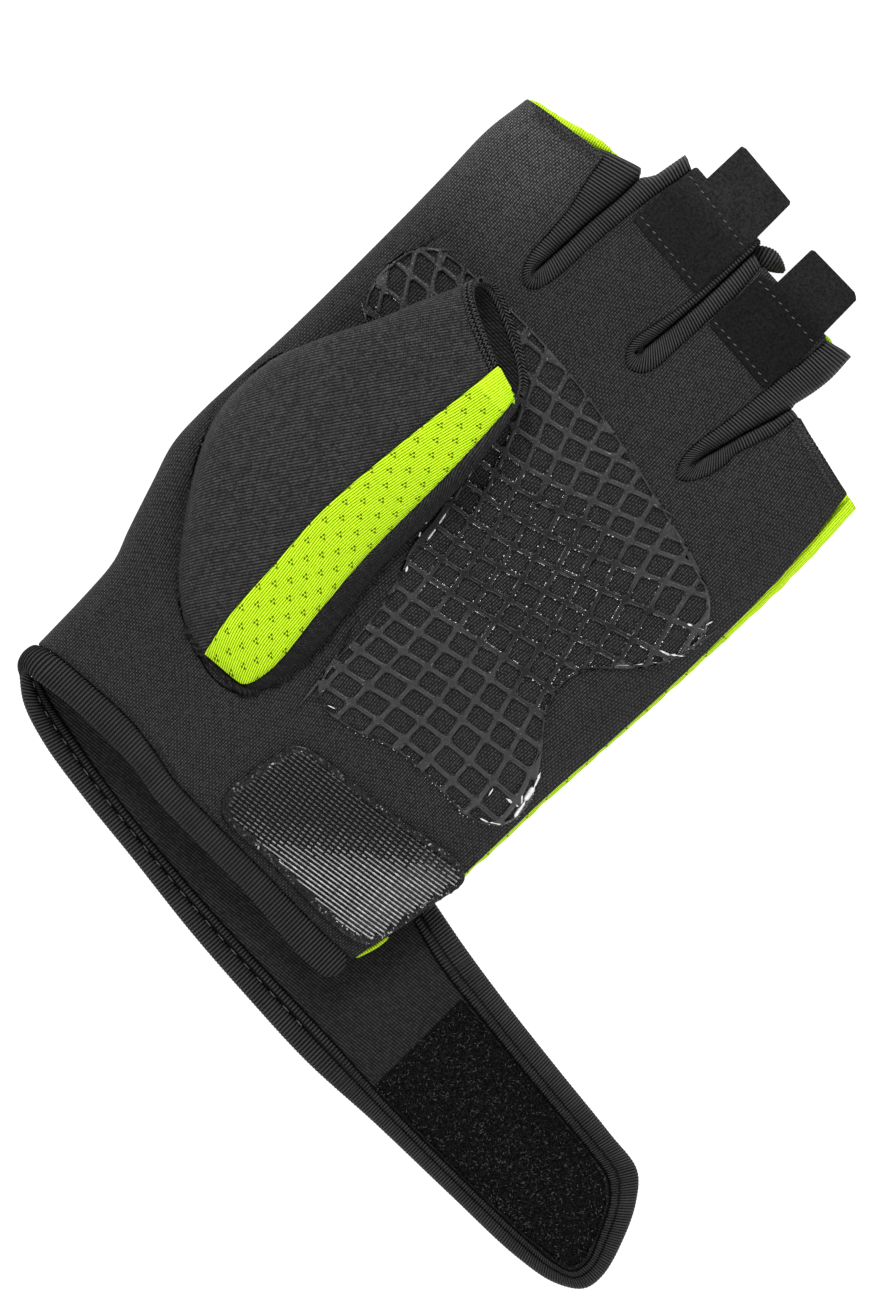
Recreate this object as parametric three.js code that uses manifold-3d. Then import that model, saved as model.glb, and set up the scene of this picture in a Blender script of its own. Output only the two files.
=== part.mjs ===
// Half-finger fitness glove for the left hand, lying on its back with the palm up.
// Millimetres. +X runs to the little finger, +Y to the finger tips, +Z up from the surface it lies on.
// The origin is on the resting face under the middle of the palm.
import * as THREE from "three";
import { mergeVertices } from "three/addons/utils/BufferGeometryUtils.js";
import Module from "manifold-3d";

const wasm = await Module();
wasm.setup();

// Driving dimensions
const SEAM_GAP = 0.3;
const SHEET_LIFT = 0.45;
const PALM_WALL = 2.0;
const BACK_WALL = 1.2;
const BAND_WALL = 1.2;
const THUMB_WALL = 1.5;
const CROWN_DROP = 1.6;
const SHOULDER_WIDTH = 10;
const WRAP_WIDTH = 13;
const LIP_HEIGHT = 2.7;
const GAP_STEPS = 26;
const SLIT_HEIGHT = 1.5;
const BAND_LIFT = 0.2;
const FINGER_DIP = 1.0;
const DIP_REACH = 4;
const DIP_RAMP = 14;
const PRINT_THICKNESS = 0.6;
const TAB_THICKNESS = 1.0;
const HOOK_THICKNESS = 1.5;
const STRAP_WALL = 1.6;
const BINDING_HEIGHT = 3.0;
const PALM_BINDING_LIFT = 0.4;
const LOOP_THICKNESS = 1.3;
const HEM_WIDTH = 2.2;
const THUMB_ROUNDNESS = 2.4;
const BACK_WRIST_Y = -38.7;
const STRAP_TOP_Y = -39.2;
const STRAP_LEAVES_X = 46;
const STRAP_CURL_Y = -62;
const STRAP_CURL_X = -41.6;
const STRAP_INSET = 0.5;
const PALM_BINDING_LEFT = -41.6;
const PALM_BINDING_RIGHT = 44.2;
const WRAP_END_Y = -59.2;
const THUMB_OVER_PRINT_Y = 16;

// Cutting bodies reach past the glove on every side
const FAR = 60;
const FAR_LOW = -12;
const FAR_HIGH = 40;

/** Rows of numbers as objects with the named columns. */
function table(names, rows) {
  const columns = names.split(" ");
  return rows.map((row) => Object.fromEntries(columns.map((name, i) => [name, row[i]])));
}

/** The outline and heights of the palm, from the finger tips to the wrist. */
const PALM = table("y index pinky back crown edge", [
  [104, -49.2, 45.5, 50.0, 11.0, 4.4],
  [85, -50.5, 47.6, 50.4, 11.4, 4.4],
  [75, -51.7, 48.4, 50.9, 11.7, 4.4],
  [63, -51.4, 50.0, 51.5, 12.0, 4.4],
  [50, -51.2, 50.8, 51.8, 12.3, 4.4],
  [30, -51.2, 50.8, 51.3, 12.6, 4.4],
  [18, -51.4, 50.4, 50.8, 12.6, 4.4],
  [5, -52.0, 49.7, 50.0, 12.6, 4.4],
  [-4, -52.3, 49.0, 49.5, 12.5, 4.4],
  [-12, -51.8, 48.6, 49.0, 12.4, 4.5],
  [-20, -49.3, 48.4, 48.8, 12.2, 4.8],
  [-30, -46.0, 48.1, 48.3, 11.8, 5.6],
  [-36, -43.8, 47.8, 48.0, 11.5, 6.2],
  [-43, -43.1, 46.8, 47.0, 11.5, 6.8],
  [-58, -42.7, 44.5, 46.0, 11.4, 7.4],
  [-66, -42.6, 44.0, 46.0, 11.3, 7.5],
]);

/** Lengthwise stations of the palm and back lofts. */
const STATIONS = [-62, -56, -49, -43, -36, -30, -24, -18, -12, -4, 5, 15, 25, 35, 44, 51, 57, 62, 68, 75, 83, 92, 102];

/** The three finger gaps: the axis from crotch to tip, and half the width between the palm edges. */
const GAPS = {
  index_middle_band: {
    axis: { crotchX: -25.2, crotchY: 58.4, tipX: -25.0, tipY: 98, half: 4.0 },
    rows: table("edgeX edgeY slitX slitY", [
      [-32.2, 88.6, -25.8, 91.0],
      [-31.4, 82.6, -24.8, 84.0],
      [-29.8, 75.6, -25.5, 76.0],
      [-29.2, 69.5, -25.7, 69.5],
      [-28.8, 63.8, -26.3, 65.0],
      [-27.4, 60.2, -26.4, 63.0],
      [-25.1, 58.4, -25.8, 62.2],
      [-23.1, 59.5, -25.2, 62.9],
      [-22.0, 62.9, -25.0, 64.6],
      [-21.6, 67.7, -25.0, 68.5],
      [-21.3, 73.8, -24.8, 74.0],
      [-20.7, 80.8, -24.2, 80.8],
      [-19.6, 89.1, -22.9, 89.3],
      [-18.1, 97.6, -21.2, 98.9],
    ]),
  },
  middle_ring_band: {
    axis: { crotchX: 0.8, crotchY: 61.4, tipX: 2.8, tipY: 97, half: 2.8 },
    rows: table("edgeX edgeY slitX slitY", [
      [0.9, 97.0, 1.3, 97.4],
      [0.6, 91.3, 1.1, 91.3],
      [-0.2, 81.3, 0.7, 81.3],
      [-0.9, 75.6, 0.2, 75.6],
      [-2.2, 69.5, -0.4, 70.5],
      [-2.7, 66.0, -0.7, 67.8],
      [-2.0, 63.4, -0.6, 66.5],
      [0.4, 61.4, 0.0, 66.0],
      [3.1, 62.5, 0.6, 66.8],
      [4.4, 65.6, 0.8, 69.2],
      [4.7, 72.1, 1.2, 74.0],
      [5.0, 79.1, 1.6, 80.0],
      [5.4, 86.9, 1.9, 87.5],
      [4.9, 93.8, 2.1, 94.8],
    ]),
  },
  ring_pinky_band: {
    axis: { crotchX: 22.4, crotchY: 52.9, tipX: 27.5, tipY: 94, half: 3.6 },
    rows: table("edgeX edgeY slitX slitY", [
      [24.1, 92.8, 29.8, 94.0],
      [23.6, 87.4, 30.0, 87.5],
      [22.7, 80.4, 28.8, 80.6],
      [22.0, 73.0, 26.4, 73.5],
      [21.1, 66.0, 24.4, 66.2],
      [20.3, 60.8, 23.0, 61.8],
      [20.4, 56.4, 22.3, 59.4],
      [22.2, 52.9, 22.8, 58.4],
      [24.4, 53.8, 23.7, 59.0],
      [26.2, 57.3, 24.3, 61.0],
      [27.0, 60.8, 24.9, 63.5],
      [27.5, 65.1, 25.6, 66.3],
      [28.8, 69.5, 27.0, 70.3],
      [30.2, 73.8, 28.4, 74.0],
      [30.6, 78.2, 29.2, 78.4],
    ]),
  },
};

/** Where the palm's fabric stops at the four finger ends, from the index side. */
const PALM_TIPS = table("x y", [
  [-60, 84.4],
  [-50.5, 85.0],
  [-32.4, 87.6],
  [-25.0, 89.4],
  [-25.0, 99.2],
  [-21.0, 99.0],
  [0.9, 97.2],
  [3.0, 96.8],
  [3.0, 94.3],
  [23.5, 93.3],
  [25.6, 93.0],
  [25.6, 78.7],
  [30.4, 78.6],
  [36.0, 77.0],
  [46.0, 75.0],
  [60.0, 72.8],
]);

/** Where the mesh back stops at the four finger ends. */
const BACK_TIPS = table("x y", [
  [-60, 85.0],
  [-50.0, 86.3],
  [-38.0, 88.7],
  [-31.0, 90.4],
  [-25.0, 91.0],
  [-25.0, 99.5],
  [-14.5, 99.0],
  [1.6, 98.0],
  [9.0, 97.4],
  [16.0, 96.0],
  [30.2, 94.2],
  [30.2, 79.2],
  [36.0, 77.4],
  [51.0, 73.9],
  [60.0, 72.0],
]);

/** The seam that carries the palm's wrist binding, and the binding's lower edge. */
const PALM_WRIST = table("x seam hem", [
  [-43, -58.6, -63.4],
  [-40, -57.5, -63.5],
  [-30, -56.5, -62.2],
  [-20, -56.1, -61.9],
  [-12, -57.0, -62.1],
  [-5, -58.3, -63.3],
  [20, -58.6, -63.8],
  [36, -58.9, -65.0],
  [44.5, -58.5, -64.5],
]);

/** The binding round the wrist band and strap, from the index side to the strap end and back. */
const STRAP_EDGE = table("outerX outerY innerX innerY", [
  [-42.2, -64.6, -38.2, -63.4],
  [-37.0, -68.5, -33.5, -64.9],
  [-28.5, -71.3, -27.0, -66.2],
  [-15.0, -73.4, -14.5, -68.4],
  [0.0, -75.0, 0.5, -70.2],
  [18.0, -77.1, 18.5, -71.6],
  [35.0, -78.3, 35.0, -72.3],
  [52.0, -79.0, 52.0, -72.8],
  [70.0, -78.1, 70.0, -73.7],
  [90.0, -77.6, 90.0, -73.8],
  [108.0, -77.0, 107.0, -73.3],
  [117.0, -75.3, 114.5, -72.6],
  [121.9, -72.0, 118.0, -71.2],
  [122.7, -67.6, 118.8, -67.8],
  [120.4, -59.4, 116.5, -61.9],
  [117.0, -52.6, 113.4, -56.2],
  [112.8, -48.2, 109.8, -53.2],
  [104.0, -46.9, 103.0, -52.0],
  [88.0, -45.2, 88.0, -50.6],
  [72.0, -43.3, 72.0, -48.8],
  [58.0, -41.2, 57.0, -46.9],
  [47.5, -39.2, 47.5, -44.5],
]);
const STRAP_END_ROW = 12;

/** The hook tape on the palm side of the wrist, clockwise from its lower left corner. */
const HOOK_OUTLINE = table("x y", [
  [5.6, -55.4],
  [5.2, -48.0],
  [5.8, -38.4],
  [7.6, -35.7],
  [10.6, -35.1],
  [30.0, -32.7],
  [44.4, -30.4],
  [47.6, -30.8],
  [48.6, -33.0],
  [47.2, -44.0],
  [44.6, -55.6],
]);

/** The raised grip print, clockwise from the finger side of its left lobe. */
const PRINT_OUTLINE = table("x y", [
  [-43.0, 51.0],
  [-35.0, 52.7],
  [-22.0, 53.2],
  [-5.0, 52.3],
  [10.0, 50.0],
  [24.0, 46.8],
  [37.0, 43.6],
  [44.6, 39.8],
  [48.2, 33.5],
  [46.2, 26.0],
  [41.5, 19.6],
  [36.6, 14.8],
  [34.8, 9.0],
  [36.6, 2.6],
  [42.0, -4.4],
  [46.4, -11.4],
  [46.8, -17.8],
  [42.0, -22.2],
  [30.0, -22.6],
  [21.0, -23.2],
  [12.0, -26.6],
  [4.6, -27.2],
  [1.0, -24.0],
  [0.2, -14.0],
  [-1.4, -1.6],
  [-4.8, 7.4],
  [-5.7, 16.0],
  [-12.0, 27.0],
  [-26.0, 29.0],
  [-38.0, 29.6],
  [-43.6, 32.8],
  [-46.6, 40.0],
  [-45.8, 47.5],
]);

/** The thumb sleeve: its width and height, from the base seam to past the opening. */
const THUMB = table("y left right low high", [
  [-37.6, -19.5, -9.0, 7.0, 11.6],
  [-35, -25.5, -6.4, 6.5, 13.9],
  [-31, -31.2, -4.6, 5.0, 16.2],
  [-25, -36.6, -3.6, 3.0, 18.6],
  [-17, -42.4, -3.6, 1.0, 20.8],
  [-8, -47.6, -4.8, -1.0, 22.8],
  [0, -50.2, -5.8, -2.0, 24.0],
  [8, -50.4, -6.0, -2.0, 24.8],
  [14, -49.6, -6.0, 2.0, 25.2],
  [20, -47.2, -6.2, 9.0, 25.5],
  [26, -44.4, -6.8, 13.8, 25.7],
  [34, -40.4, -7.9, 13.8, 25.8],
  [42, -37.2, -9.6, 13.6, 25.8],
  [50, -33.6, -11.4, 13.3, 25.6],
  [60, -29.6, -12.6, 13.0, 25.0],
]);

/** The slanted plane of the thumb opening. */
const THUMB_MOUTH = {
  point: new THREE.Vector3(-21, 52.3, 14),
  normal: new THREE.Vector3(0.34, 0.81, 0.48).normalize(),
};

/** The hole in the palm under the thumb sleeve. */
const THUMB_HOLE = { x: -27, y: -10, halfX: 15, halfY: 19, low: 7.4, high: 16 };

/** The neon stripe of the thumb, and how deep its cut goes. */
const STRIPE = table("y left right low", [
  [-36.6, -18.5, -8.4, 8.5],
  [-28, -20.2, -7.2, 10.5],
  [-15, -21.0, -8.5, 13.0],
  [0, -21.8, -9.7, 15.0],
  [20, -20.2, -9.7, 18.0],
  [36, -18.3, -10.3, 19.0],
  [52, -16.8, -12.3, 19.0],
]);
const STRIPE_TOP = 32;

/** Suede patches: the seam line on the finger, the tab beyond the tip. */
const TABS = {
  middle_tab: table("x y", [
    [-19.4, 82.7],
    [-18.2, 97.4],
    [-14.8, 98.0],
    [-14.5, 108.2],
    [0.3, 106.9],
    [0.3, 97.0],
    [0.0, 93.0],
    [-1.2, 81.2],
  ]),
  ring_tab: table("x y", [
    [6.2, 78.6],
    [6.8, 92.6],
    [9.2, 93.0],
    [9.4, 103.5],
    [22.9, 103.2],
    [22.8, 92.4],
    [22.6, 86.0],
    [21.6, 77.6],
  ]),
};

/** The loop pile at the strap end, kept inside the binding. */
const LOOP_OUTLINE = table("x y", [
  [64.8, -48.9],
  [88.0, -51.2],
  [103.0, -52.6],
  [109.4, -53.9],
  [113.0, -57.0],
  [115.8, -62.2],
  [117.9, -67.8],
  [117.2, -70.6],
  [114.0, -71.9],
  [107.0, -72.6],
  [90.0, -73.1],
  [70.0, -73.0],
  [64.8, -72.8],
]);

const CHARCOAL = { color: 0x39393b, roughness: 0.92, metalness: 0 };
const MATERIALS = {
  knit: new THREE.MeshStandardMaterial(CHARCOAL),
  twill: new THREE.MeshStandardMaterial({ ...CHARCOAL, color: 0x3c3c3e }),
  ribbed: new THREE.MeshStandardMaterial({ ...CHARCOAL, color: 0x303031 }),
  suede: new THREE.MeshStandardMaterial({ color: 0x222223, roughness: 1, metalness: 0 }),
  mesh: new THREE.MeshStandardMaterial({ color: 0xb9f528, roughness: 0.8, metalness: 0 }),
  silicone: new THREE.MeshStandardMaterial({ color: 0x474748, roughness: 0.35, metalness: 0 }),
  hook: new THREE.MeshStandardMaterial({ color: 0x2c2c2c, roughness: 0.5, metalness: 0 }),
  pile: new THREE.MeshStandardMaterial({ color: 0x161616, roughness: 1, metalness: 0 }),
};

/** One column of a table as a smooth function of its key column, straight beyond the ends. */
function follow(rows, key, column) {
  const sorted = [...rows].sort((a, b) => a[key] - b[key]);
  const at = sorted.map((row) => row[key]);
  const value = sorted.map((row) => row[column]);
  const last = at.length - 1;
  const slope = at.map((_, i) => {
    const before = Math.max(i - 1, 0);
    const after = Math.min(i + 1, last);
    return (value[after] - value[before]) / (at[after] - at[before]);
  });
  return (place) => {
    if (place <= at[0]) return value[0] + slope[0] * (place - at[0]);
    if (place >= at[last]) return value[last] + slope[last] * (place - at[last]);
    const i = at.findIndex((start, k) => place >= start && place < at[k + 1]);
    const span = at[i + 1] - at[i];
    const t = (place - at[i]) / span;
    const rise = t * t * (3 - 2 * t);
    const bow = slope[i] * t * (1 - t) ** 2 - slope[i + 1] * t * t * (1 - t);
    return value[i] + (value[i + 1] - value[i]) * rise + span * bow;
  };
}

const palmColumn = (column) => follow(PALM, "y", column);
const indexSide = palmColumn("index");
const pinkySide = palmColumn("pinky");
const backSide = palmColumn("back");
const crown = palmColumn("crown");
const edgeHeight = palmColumn("edge");

/** Half the height of the rounded index side. */
const sideRadius = (y) => (crown(y) - CROWN_DROP) / 2;

/** How far the palm dips beside the finger gaps. */
function fingerDip(x, y) {
  const dips = Object.values(GAPS).map(({ axis }) => {
    const along = (y - axis.crotchY) / (axis.tipY - axis.crotchY);
    const middle = axis.crotchX + (axis.tipX - axis.crotchX) * along;
    const away = Math.max(0, Math.abs(x - middle) - axis.half) / DIP_REACH;
    const ramp = THREE.MathUtils.smoothstep(y, axis.crotchY - DIP_RAMP / 2, axis.crotchY + DIP_RAMP / 2);
    return FINGER_DIP * ramp * Math.exp(-away * away);
  });
  return Math.max(...dips);
}

/** The height of the palm's outer face. */
function palmTop(x, y) {
  const left = indexSide(y);
  const right = pinkySide(y);
  const across = THREE.MathUtils.clamp((2 * x - left - right) / (right - left), -1, 1);
  const dome = crown(y) - CROWN_DROP * across * across - fingerDip(x, y);
  const fromPinky = THREE.MathUtils.clamp((right - x) / SHOULDER_WIDTH, 0, 1);
  const slope = edgeHeight(y) + (dome - edgeHeight(y)) * (1 - (1 - fromPinky) ** 2);
  const radius = sideRadius(y);
  const fromIndex = THREE.MathUtils.clamp((x - left) / radius, 0, 1);
  return radius + (slope - radius) * Math.sqrt(1 - (1 - fromIndex) ** 2);
}

/** The height of the underside, which curls up at the index side. */
function underside(x, y) {
  const radius = sideRadius(y);
  const fromIndex = THREE.MathUtils.clamp((x - indexSide(y)) / radius, 0, 1);
  return radius - radius * Math.sqrt(1 - (1 - fromIndex) ** 2);
}

/** A closed geometry through loops of equal, even length; each cap joins opposite points. */
function loft(loops) {
  const count = loops[0].length;
  const positions = new Float32Array(loops.flat(2));
  const index = [];
  const quad = (a, b, c, d) => index.push(a, b, c, a, c, d);
  for (let s = 0; s + 1 < loops.length; s++) {
    const here = s * count;
    const next = here + count;
    for (let i = 0; i < count; i++) {
      const j = (i + 1) % count;
      quad(here + i, here + j, next + j, next + i);
    }
  }
  const end = (loops.length - 1) * count;
  for (let i = 0; i < count / 2 - 1; i++) {
    const far = count - 1 - i;
    quad(i, far, far - 1, i + 1);
    quad(end + i, end + i + 1, end + far - 1, end + far);
  }
  const geometry = new THREE.BufferGeometry();
  geometry.setAttribute("position", new THREE.BufferAttribute(positions, 3));
  geometry.setIndex(index);
  return geometry;
}

/** Six times the signed volume of an indexed geometry. */
function signedVolume(geometry) {
  const place = geometry.getAttribute("position");
  const corners = geometry.index.array;
  const [a, b, c] = [new THREE.Vector3(), new THREE.Vector3(), new THREE.Vector3()];
  let total = 0;
  for (let i = 0; i < corners.length; i += 3) {
    a.fromBufferAttribute(place, corners[i]);
    b.fromBufferAttribute(place, corners[i + 1]);
    c.fromBufferAttribute(place, corners[i + 2]);
    total += a.dot(b.cross(c));
  }
  return total;
}

/** A geometry as a solid for joining and cutting, faces outward. */
function solid(geometry) {
  const bare = geometry.clone();
  bare.deleteAttribute("normal");
  bare.deleteAttribute("uv");
  const merged = mergeVertices(bare, 1e-4);
  const corners = new Uint32Array(merged.index.array);
  if (signedVolume(merged) < 0) {
    corners.reverse();
  }
  const mesh = new wasm.Mesh({
    numProp: 3,
    vertProperties: new Float32Array(merged.getAttribute("position").array),
    triVerts: corners,
  });
  return new wasm.Manifold(mesh);
}

/** A named mesh of a solid. */
function piece(name, shape, material) {
  const { numProp, numVert, vertProperties, triVerts } = shape.getMesh();
  const positions = new Float32Array(numVert * 3);
  for (let i = 0; i < numVert; i++) {
    positions.set(vertProperties.subarray(i * numProp, i * numProp + 3), i * 3);
  }
  const geometry = new THREE.BufferGeometry();
  geometry.setAttribute("position", new THREE.BufferAttribute(positions, 3));
  geometry.setIndex(new THREE.BufferAttribute(new Uint32Array(triVerts), 1));
  geometry.computeVertexNormals();
  const mesh = new THREE.Mesh(geometry, MATERIALS[material]);
  mesh.name = name;
  return mesh;
}

/** An upright prism over a plan outline. */
function prism(points, low, high) {
  const shape = new THREE.Shape(points.map(({ x, y }) => new THREE.Vector2(x, y)));
  const geometry = new THREE.ExtrudeGeometry(shape, { depth: high - low, bevelEnabled: false });
  geometry.translate(0, 0, low);
  return solid(geometry);
}

/** A closed plan outline rounded through its points. */
function rounded(points, steps) {
  const knots = points.map(({ x, y }) => new THREE.Vector3(x, y, 0));
  return new THREE.CatmullRomCurve3(knots, true, "centripetal").getPoints(steps).slice(0, -1);
}

/** Everything on one side of a plan line that crosses the glove. */
function beyond(line, reach) {
  const first = line[0];
  const last = line[line.length - 1];
  const corners = [...line, { x: last.x, y: last.y + reach }, { x: first.x, y: last.y + reach }];
  return prism(corners, FAR_LOW, FAR_HIGH);
}

/** An upright block over a rectangle in plan. */
function block(left, right, near, far) {
  const corners = [
    { x: left, y: near },
    { x: right, y: near },
    { x: right, y: far },
    { x: left, y: far },
  ];
  return prism(corners, FAR_LOW, FAR_HIGH);
}

/** Evenly spaced numbers from start to end. */
function spread(start, end, count) {
  return Array.from({ length: count }, (_, i) => start + ((end - start) * i) / (count - 1));
}

/** One wall section at y: the outer path of x and z, and the inner path at the wall's thickness. */
function wallLoop(path, y, thickness) {
  const inner = path.map(([x, z], i) => {
    const [x0, z0] = path[Math.max(i - 1, 0)];
    const [x1, z1] = path[Math.min(i + 1, path.length - 1)];
    const length = Math.hypot(x1 - x0, z1 - z0);
    return [x - ((z0 - z1) / length) * thickness, z - ((x1 - x0) / length) * thickness];
  });
  return [...path, ...inner.reverse()].map(([x, z]) => [x, y, z]);
}

/** The palm's outer path: from the pinky edge over the top, round the index side and under it. */
function palmPath(y) {
  const left = indexSide(y);
  const right = pinkySide(y);
  const radius = sideRadius(y);
  const shoulder = [0, 1.2, 3, 5.5, 8.5].map((inward) => right - inward);
  const middle = spread(right - SHOULDER_WIDTH - 2, left + radius + 1, 13);
  const upperArc = spread(0, Math.PI / 2, 5).map((turn) => left + radius * (1 - Math.sin(turn)));
  const lowerArc = spread(Math.PI / 2, Math.PI, 5).slice(1);
  const over = [...shoulder, ...middle, ...upperArc].map((x) => [x, palmTop(x, y)]);
  const under = lowerArc.map((turn) => [left + radius * (1 - Math.sin(turn)), radius * (1 + Math.cos(turn))]);
  return [...over, ...under, [left + WRAP_WIDTH, 0]].reverse();
}

/** The band along a finger gap: matching points on the palm edge and in the slit. */
function gapRails(rows, steps) {
  const edge = rows.map((row) => new THREE.Vector3(row.edgeX, row.edgeY, 0));
  const slit = rows.map((row) => new THREE.Vector3(row.slitX, row.slitY, 0));
  const smooth = (knots) => new THREE.CatmullRomCurve3(knots, false, "centripetal");
  const curves = [smooth(edge), smooth(slit)];
  return spread(0, 1, steps).map((t) => curves.map((curve) => curve.getPoint(t)));
}

/** Plan points moved away from the gap by a distance, square to the palm edge. */
function movedOut(rails, distance) {
  return rails.map(([edge, slit], i) => {
    const before = rails[Math.max(i - 1, 0)][0];
    const after = rails[Math.min(i + 1, rails.length - 1)][0];
    const along = after.clone().sub(before).normalize();
    const out = new THREE.Vector3(along.y, -along.x, 0).multiplyScalar(distance);
    return [edge.clone().add(out), slit.clone().add(out)];
  });
}

/** The ribbed band of one finger gap, or the room that it takes with a clearance. */
function gapBand(rows, clearance = 0) {
  const near = gapRails(rows, GAP_STEPS);
  const far = movedOut(near, BAND_WALL + clearance);
  const loops = near.map(([edge, slit], i) => {
    const rise = palmTop(edge.x, edge.y) + BAND_LIFT - SLIT_HEIGHT;
    const reach = 1 + (4 * clearance) / rise;
    const [farEdge, farSlit] = far[i];
    const raised = (low, high) => low.clone().lerp(high, reach).setZ(SLIT_HEIGHT + rise * reach);
    const corners = [slit, raised(slit, edge), raised(farSlit, farEdge), farSlit];
    return corners.map(({ x, y, z }) => [x, y, Math.max(z, SLIT_HEIGHT)]);
  });
  return solid(loft(loops));
}

/** The space that a finger gap takes from the palm, with its band, out past the tips. */
function gapCutter(rows) {
  const overshoot = 1.7;
  const rails = movedOut(gapRails(rows, GAP_STEPS), BAND_WALL + SEAM_GAP);
  const raised = rails.map(([edge, slit]) => {
    const top = palmTop(edge.x, edge.y);
    const over = slit.clone().lerp(edge, overshoot);
    return {
      low: [slit.x, slit.y, SLIT_HEIGHT - SEAM_GAP / 2],
      high: [over.x, over.y, SLIT_HEIGHT + (top - SLIT_HEIGHT) * overshoot],
    };
  });
  const loops = [];
  for (let i = 0; i < raised.length / 2; i++) {
    const left = raised[i];
    const right = raised[raised.length - 1 - i];
    loops.push([left.low, left.high, right.high, right.low]);
  }
  const ahead = loops[0].map(([x, y, z]) => [x, y + FAR, z]);
  return solid(loft([ahead, ...loops]));
}

/** The slit that a finger gap leaves in the back, out past the tips. */
function slitCutter(rows) {
  const rail = gapRails(rows, GAP_STEPS).map(([, slit]) => slit);
  const half = rail.length / 2;
  const outline = rail.map(({ x, y }, i) => ({ x: i < half ? x - SEAM_GAP : x + SEAM_GAP, y }));
  const first = outline[0];
  const last = outline[outline.length - 1];
  const clear = Math.max(first.x, last.x) + 2 * SEAM_GAP;
  const beyondTips = PALM[0].y + FAR;
  outline.push({ x: clear, y: last.y }, { x: clear, y: beyondTips }, { x: first.x, y: beyondTips });
  return prism(outline, -2, SLIT_HEIGHT);
}

/** A sheet that follows the palm's outer face inside a plan outline. */
function palmSheet(outline, lift, thickness) {
  const xs = outline.map(({ x }) => x);
  const ys = outline.map(({ y }) => y);
  const [left, right] = [Math.min(...xs) - 1, Math.max(...xs) + 1];
  const [low, high] = [Math.min(...ys) - 1, Math.max(...ys) + 1];
  const columns = spread(left, right, Math.max(4, Math.ceil((right - left) / 5)));
  const rows = spread(low, high, Math.max(4, Math.ceil((high - low) / 6)));
  const loops = rows.map((y) => {
    const under = columns.map((x) => [x, y, palmTop(x, y) + lift]);
    const over = columns.map((x) => [x, y, palmTop(x, y) + lift + thickness]);
    return [...under, ...over.reverse()];
  });
  return solid(loft(loops)).intersect(prism(outline, FAR_LOW, FAR_HIGH));
}

/** Everything under the palm's outer face and a clearance above it. */
function underPalm(clearance) {
  const columns = [...spread(-54, -44, 9), ...spread(-40, 2, 10)];
  const loops = spread(-42, 62, 22).map((y) => [
    ...columns.map((x) => [x, y, palmTop(x, y) + clearance]),
    ...columns.map((x) => [x, y, FAR_LOW]).reverse(),
  ]);
  return solid(loft(loops));
}

/** The thumb's tube, each side moved in by an inset. */
function thumbTube(inset) {
  const corners = 22;
  const loops = THUMB.map(({ y, left, right, low, high }) => {
    const centreX = (left + right) / 2;
    const centreZ = (low + high) / 2;
    const halfX = Math.max((right - left) / 2 - inset, 0.6);
    const halfZ = Math.max((high - low) / 2 - inset, 0.3);
    return Array.from({ length: corners }, (_, i) => {
      const turn = (2 * Math.PI * (i + 0.5)) / corners;
      const round = (value) => Math.sign(value) * Math.abs(value) ** (2 / THUMB_ROUNDNESS);
      return [centreX + halfX * round(Math.cos(turn)), y, centreZ + halfZ * round(Math.sin(turn))];
    });
  });
  return solid(loft(loops));
}

/** Everything past the thumb opening's plane, moved back along it. */
function pastMouth(back) {
  const box = new THREE.BoxGeometry(FAR, FAR, FAR).toNonIndexed();
  box.translate(0, 0, FAR / 2 - back);
  const turn = new THREE.Quaternion().setFromUnitVectors(new THREE.Vector3(0, 0, 1), THUMB_MOUTH.normal);
  box.applyQuaternion(turn);
  box.translate(...THUMB_MOUTH.point.toArray());
  return solid(box);
}

/** A bar between two plan lines: the outer and inner edge at each step, between two heights. */
function bar(steps) {
  const corner = 0.28;
  const loops = steps.map(({ outer, inner, low, high }) => {
    const at = (share, z) => [
      outer.x + (inner.x - outer.x) * share,
      outer.y + (inner.y - outer.y) * share,
      z,
    ];
    const rise = (high - low) * corner;
    return [
      at(0.12, low),
      at(0, low + rise),
      at(0, high - rise),
      at(0.12, high),
      at(0.88, high),
      at(1, high - rise),
      at(1, low + rise),
      at(0.88, low),
    ];
  });
  return solid(loft(loops));
}

/** The palm: one wall round the index side, open at the finger ends, the gaps and the wrist. */
function buildPalm() {
  const shell = solid(loft(STATIONS.map((y) => wallLoop(palmPath(y), y, PALM_WALL))));
  const { x, y, halfX, halfY, low, high } = THUMB_HOLE;
  const oval = new THREE.EllipseCurve(x, y, halfX, halfY).getPoints(24).slice(0, -1);
  const wristLine = PALM_WRIST.map((row) => ({ x: row.x, y: row.seam + SEAM_GAP }));
  wristLine.unshift({ x: -FAR, y: wristLine[0].y });
  wristLine.push({ x: FAR, y: wristLine[wristLine.length - 1].y });
  const cuts = [beyond(PALM_TIPS, FAR), beyond(wristLine, -FAR), prism(oval, low, high)];
  cuts.push(...Object.values(GAPS).map(({ rows }) => gapCutter(rows)));
  cuts.push(...Object.values(GAPS).map(({ rows }) => gapBand(rows, SEAM_GAP)));
  return cuts.reduce((rest, cut) => rest.subtract(cut), shell);
}

/** The mesh back, which the glove lies on. */
function buildBack() {
  const loops = STATIONS.filter((y) => y > BACK_WRIST_Y).map((y) => backLoop(y));
  const shell = solid(loft([backLoop(BACK_WRIST_Y), ...loops]));
  const cuts = [beyond(BACK_TIPS, FAR)];
  cuts.push(...Object.values(GAPS).map(({ rows }) => slitCutter(rows)));
  return cuts.reduce((rest, cut) => rest.subtract(cut), shell);
}

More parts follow.
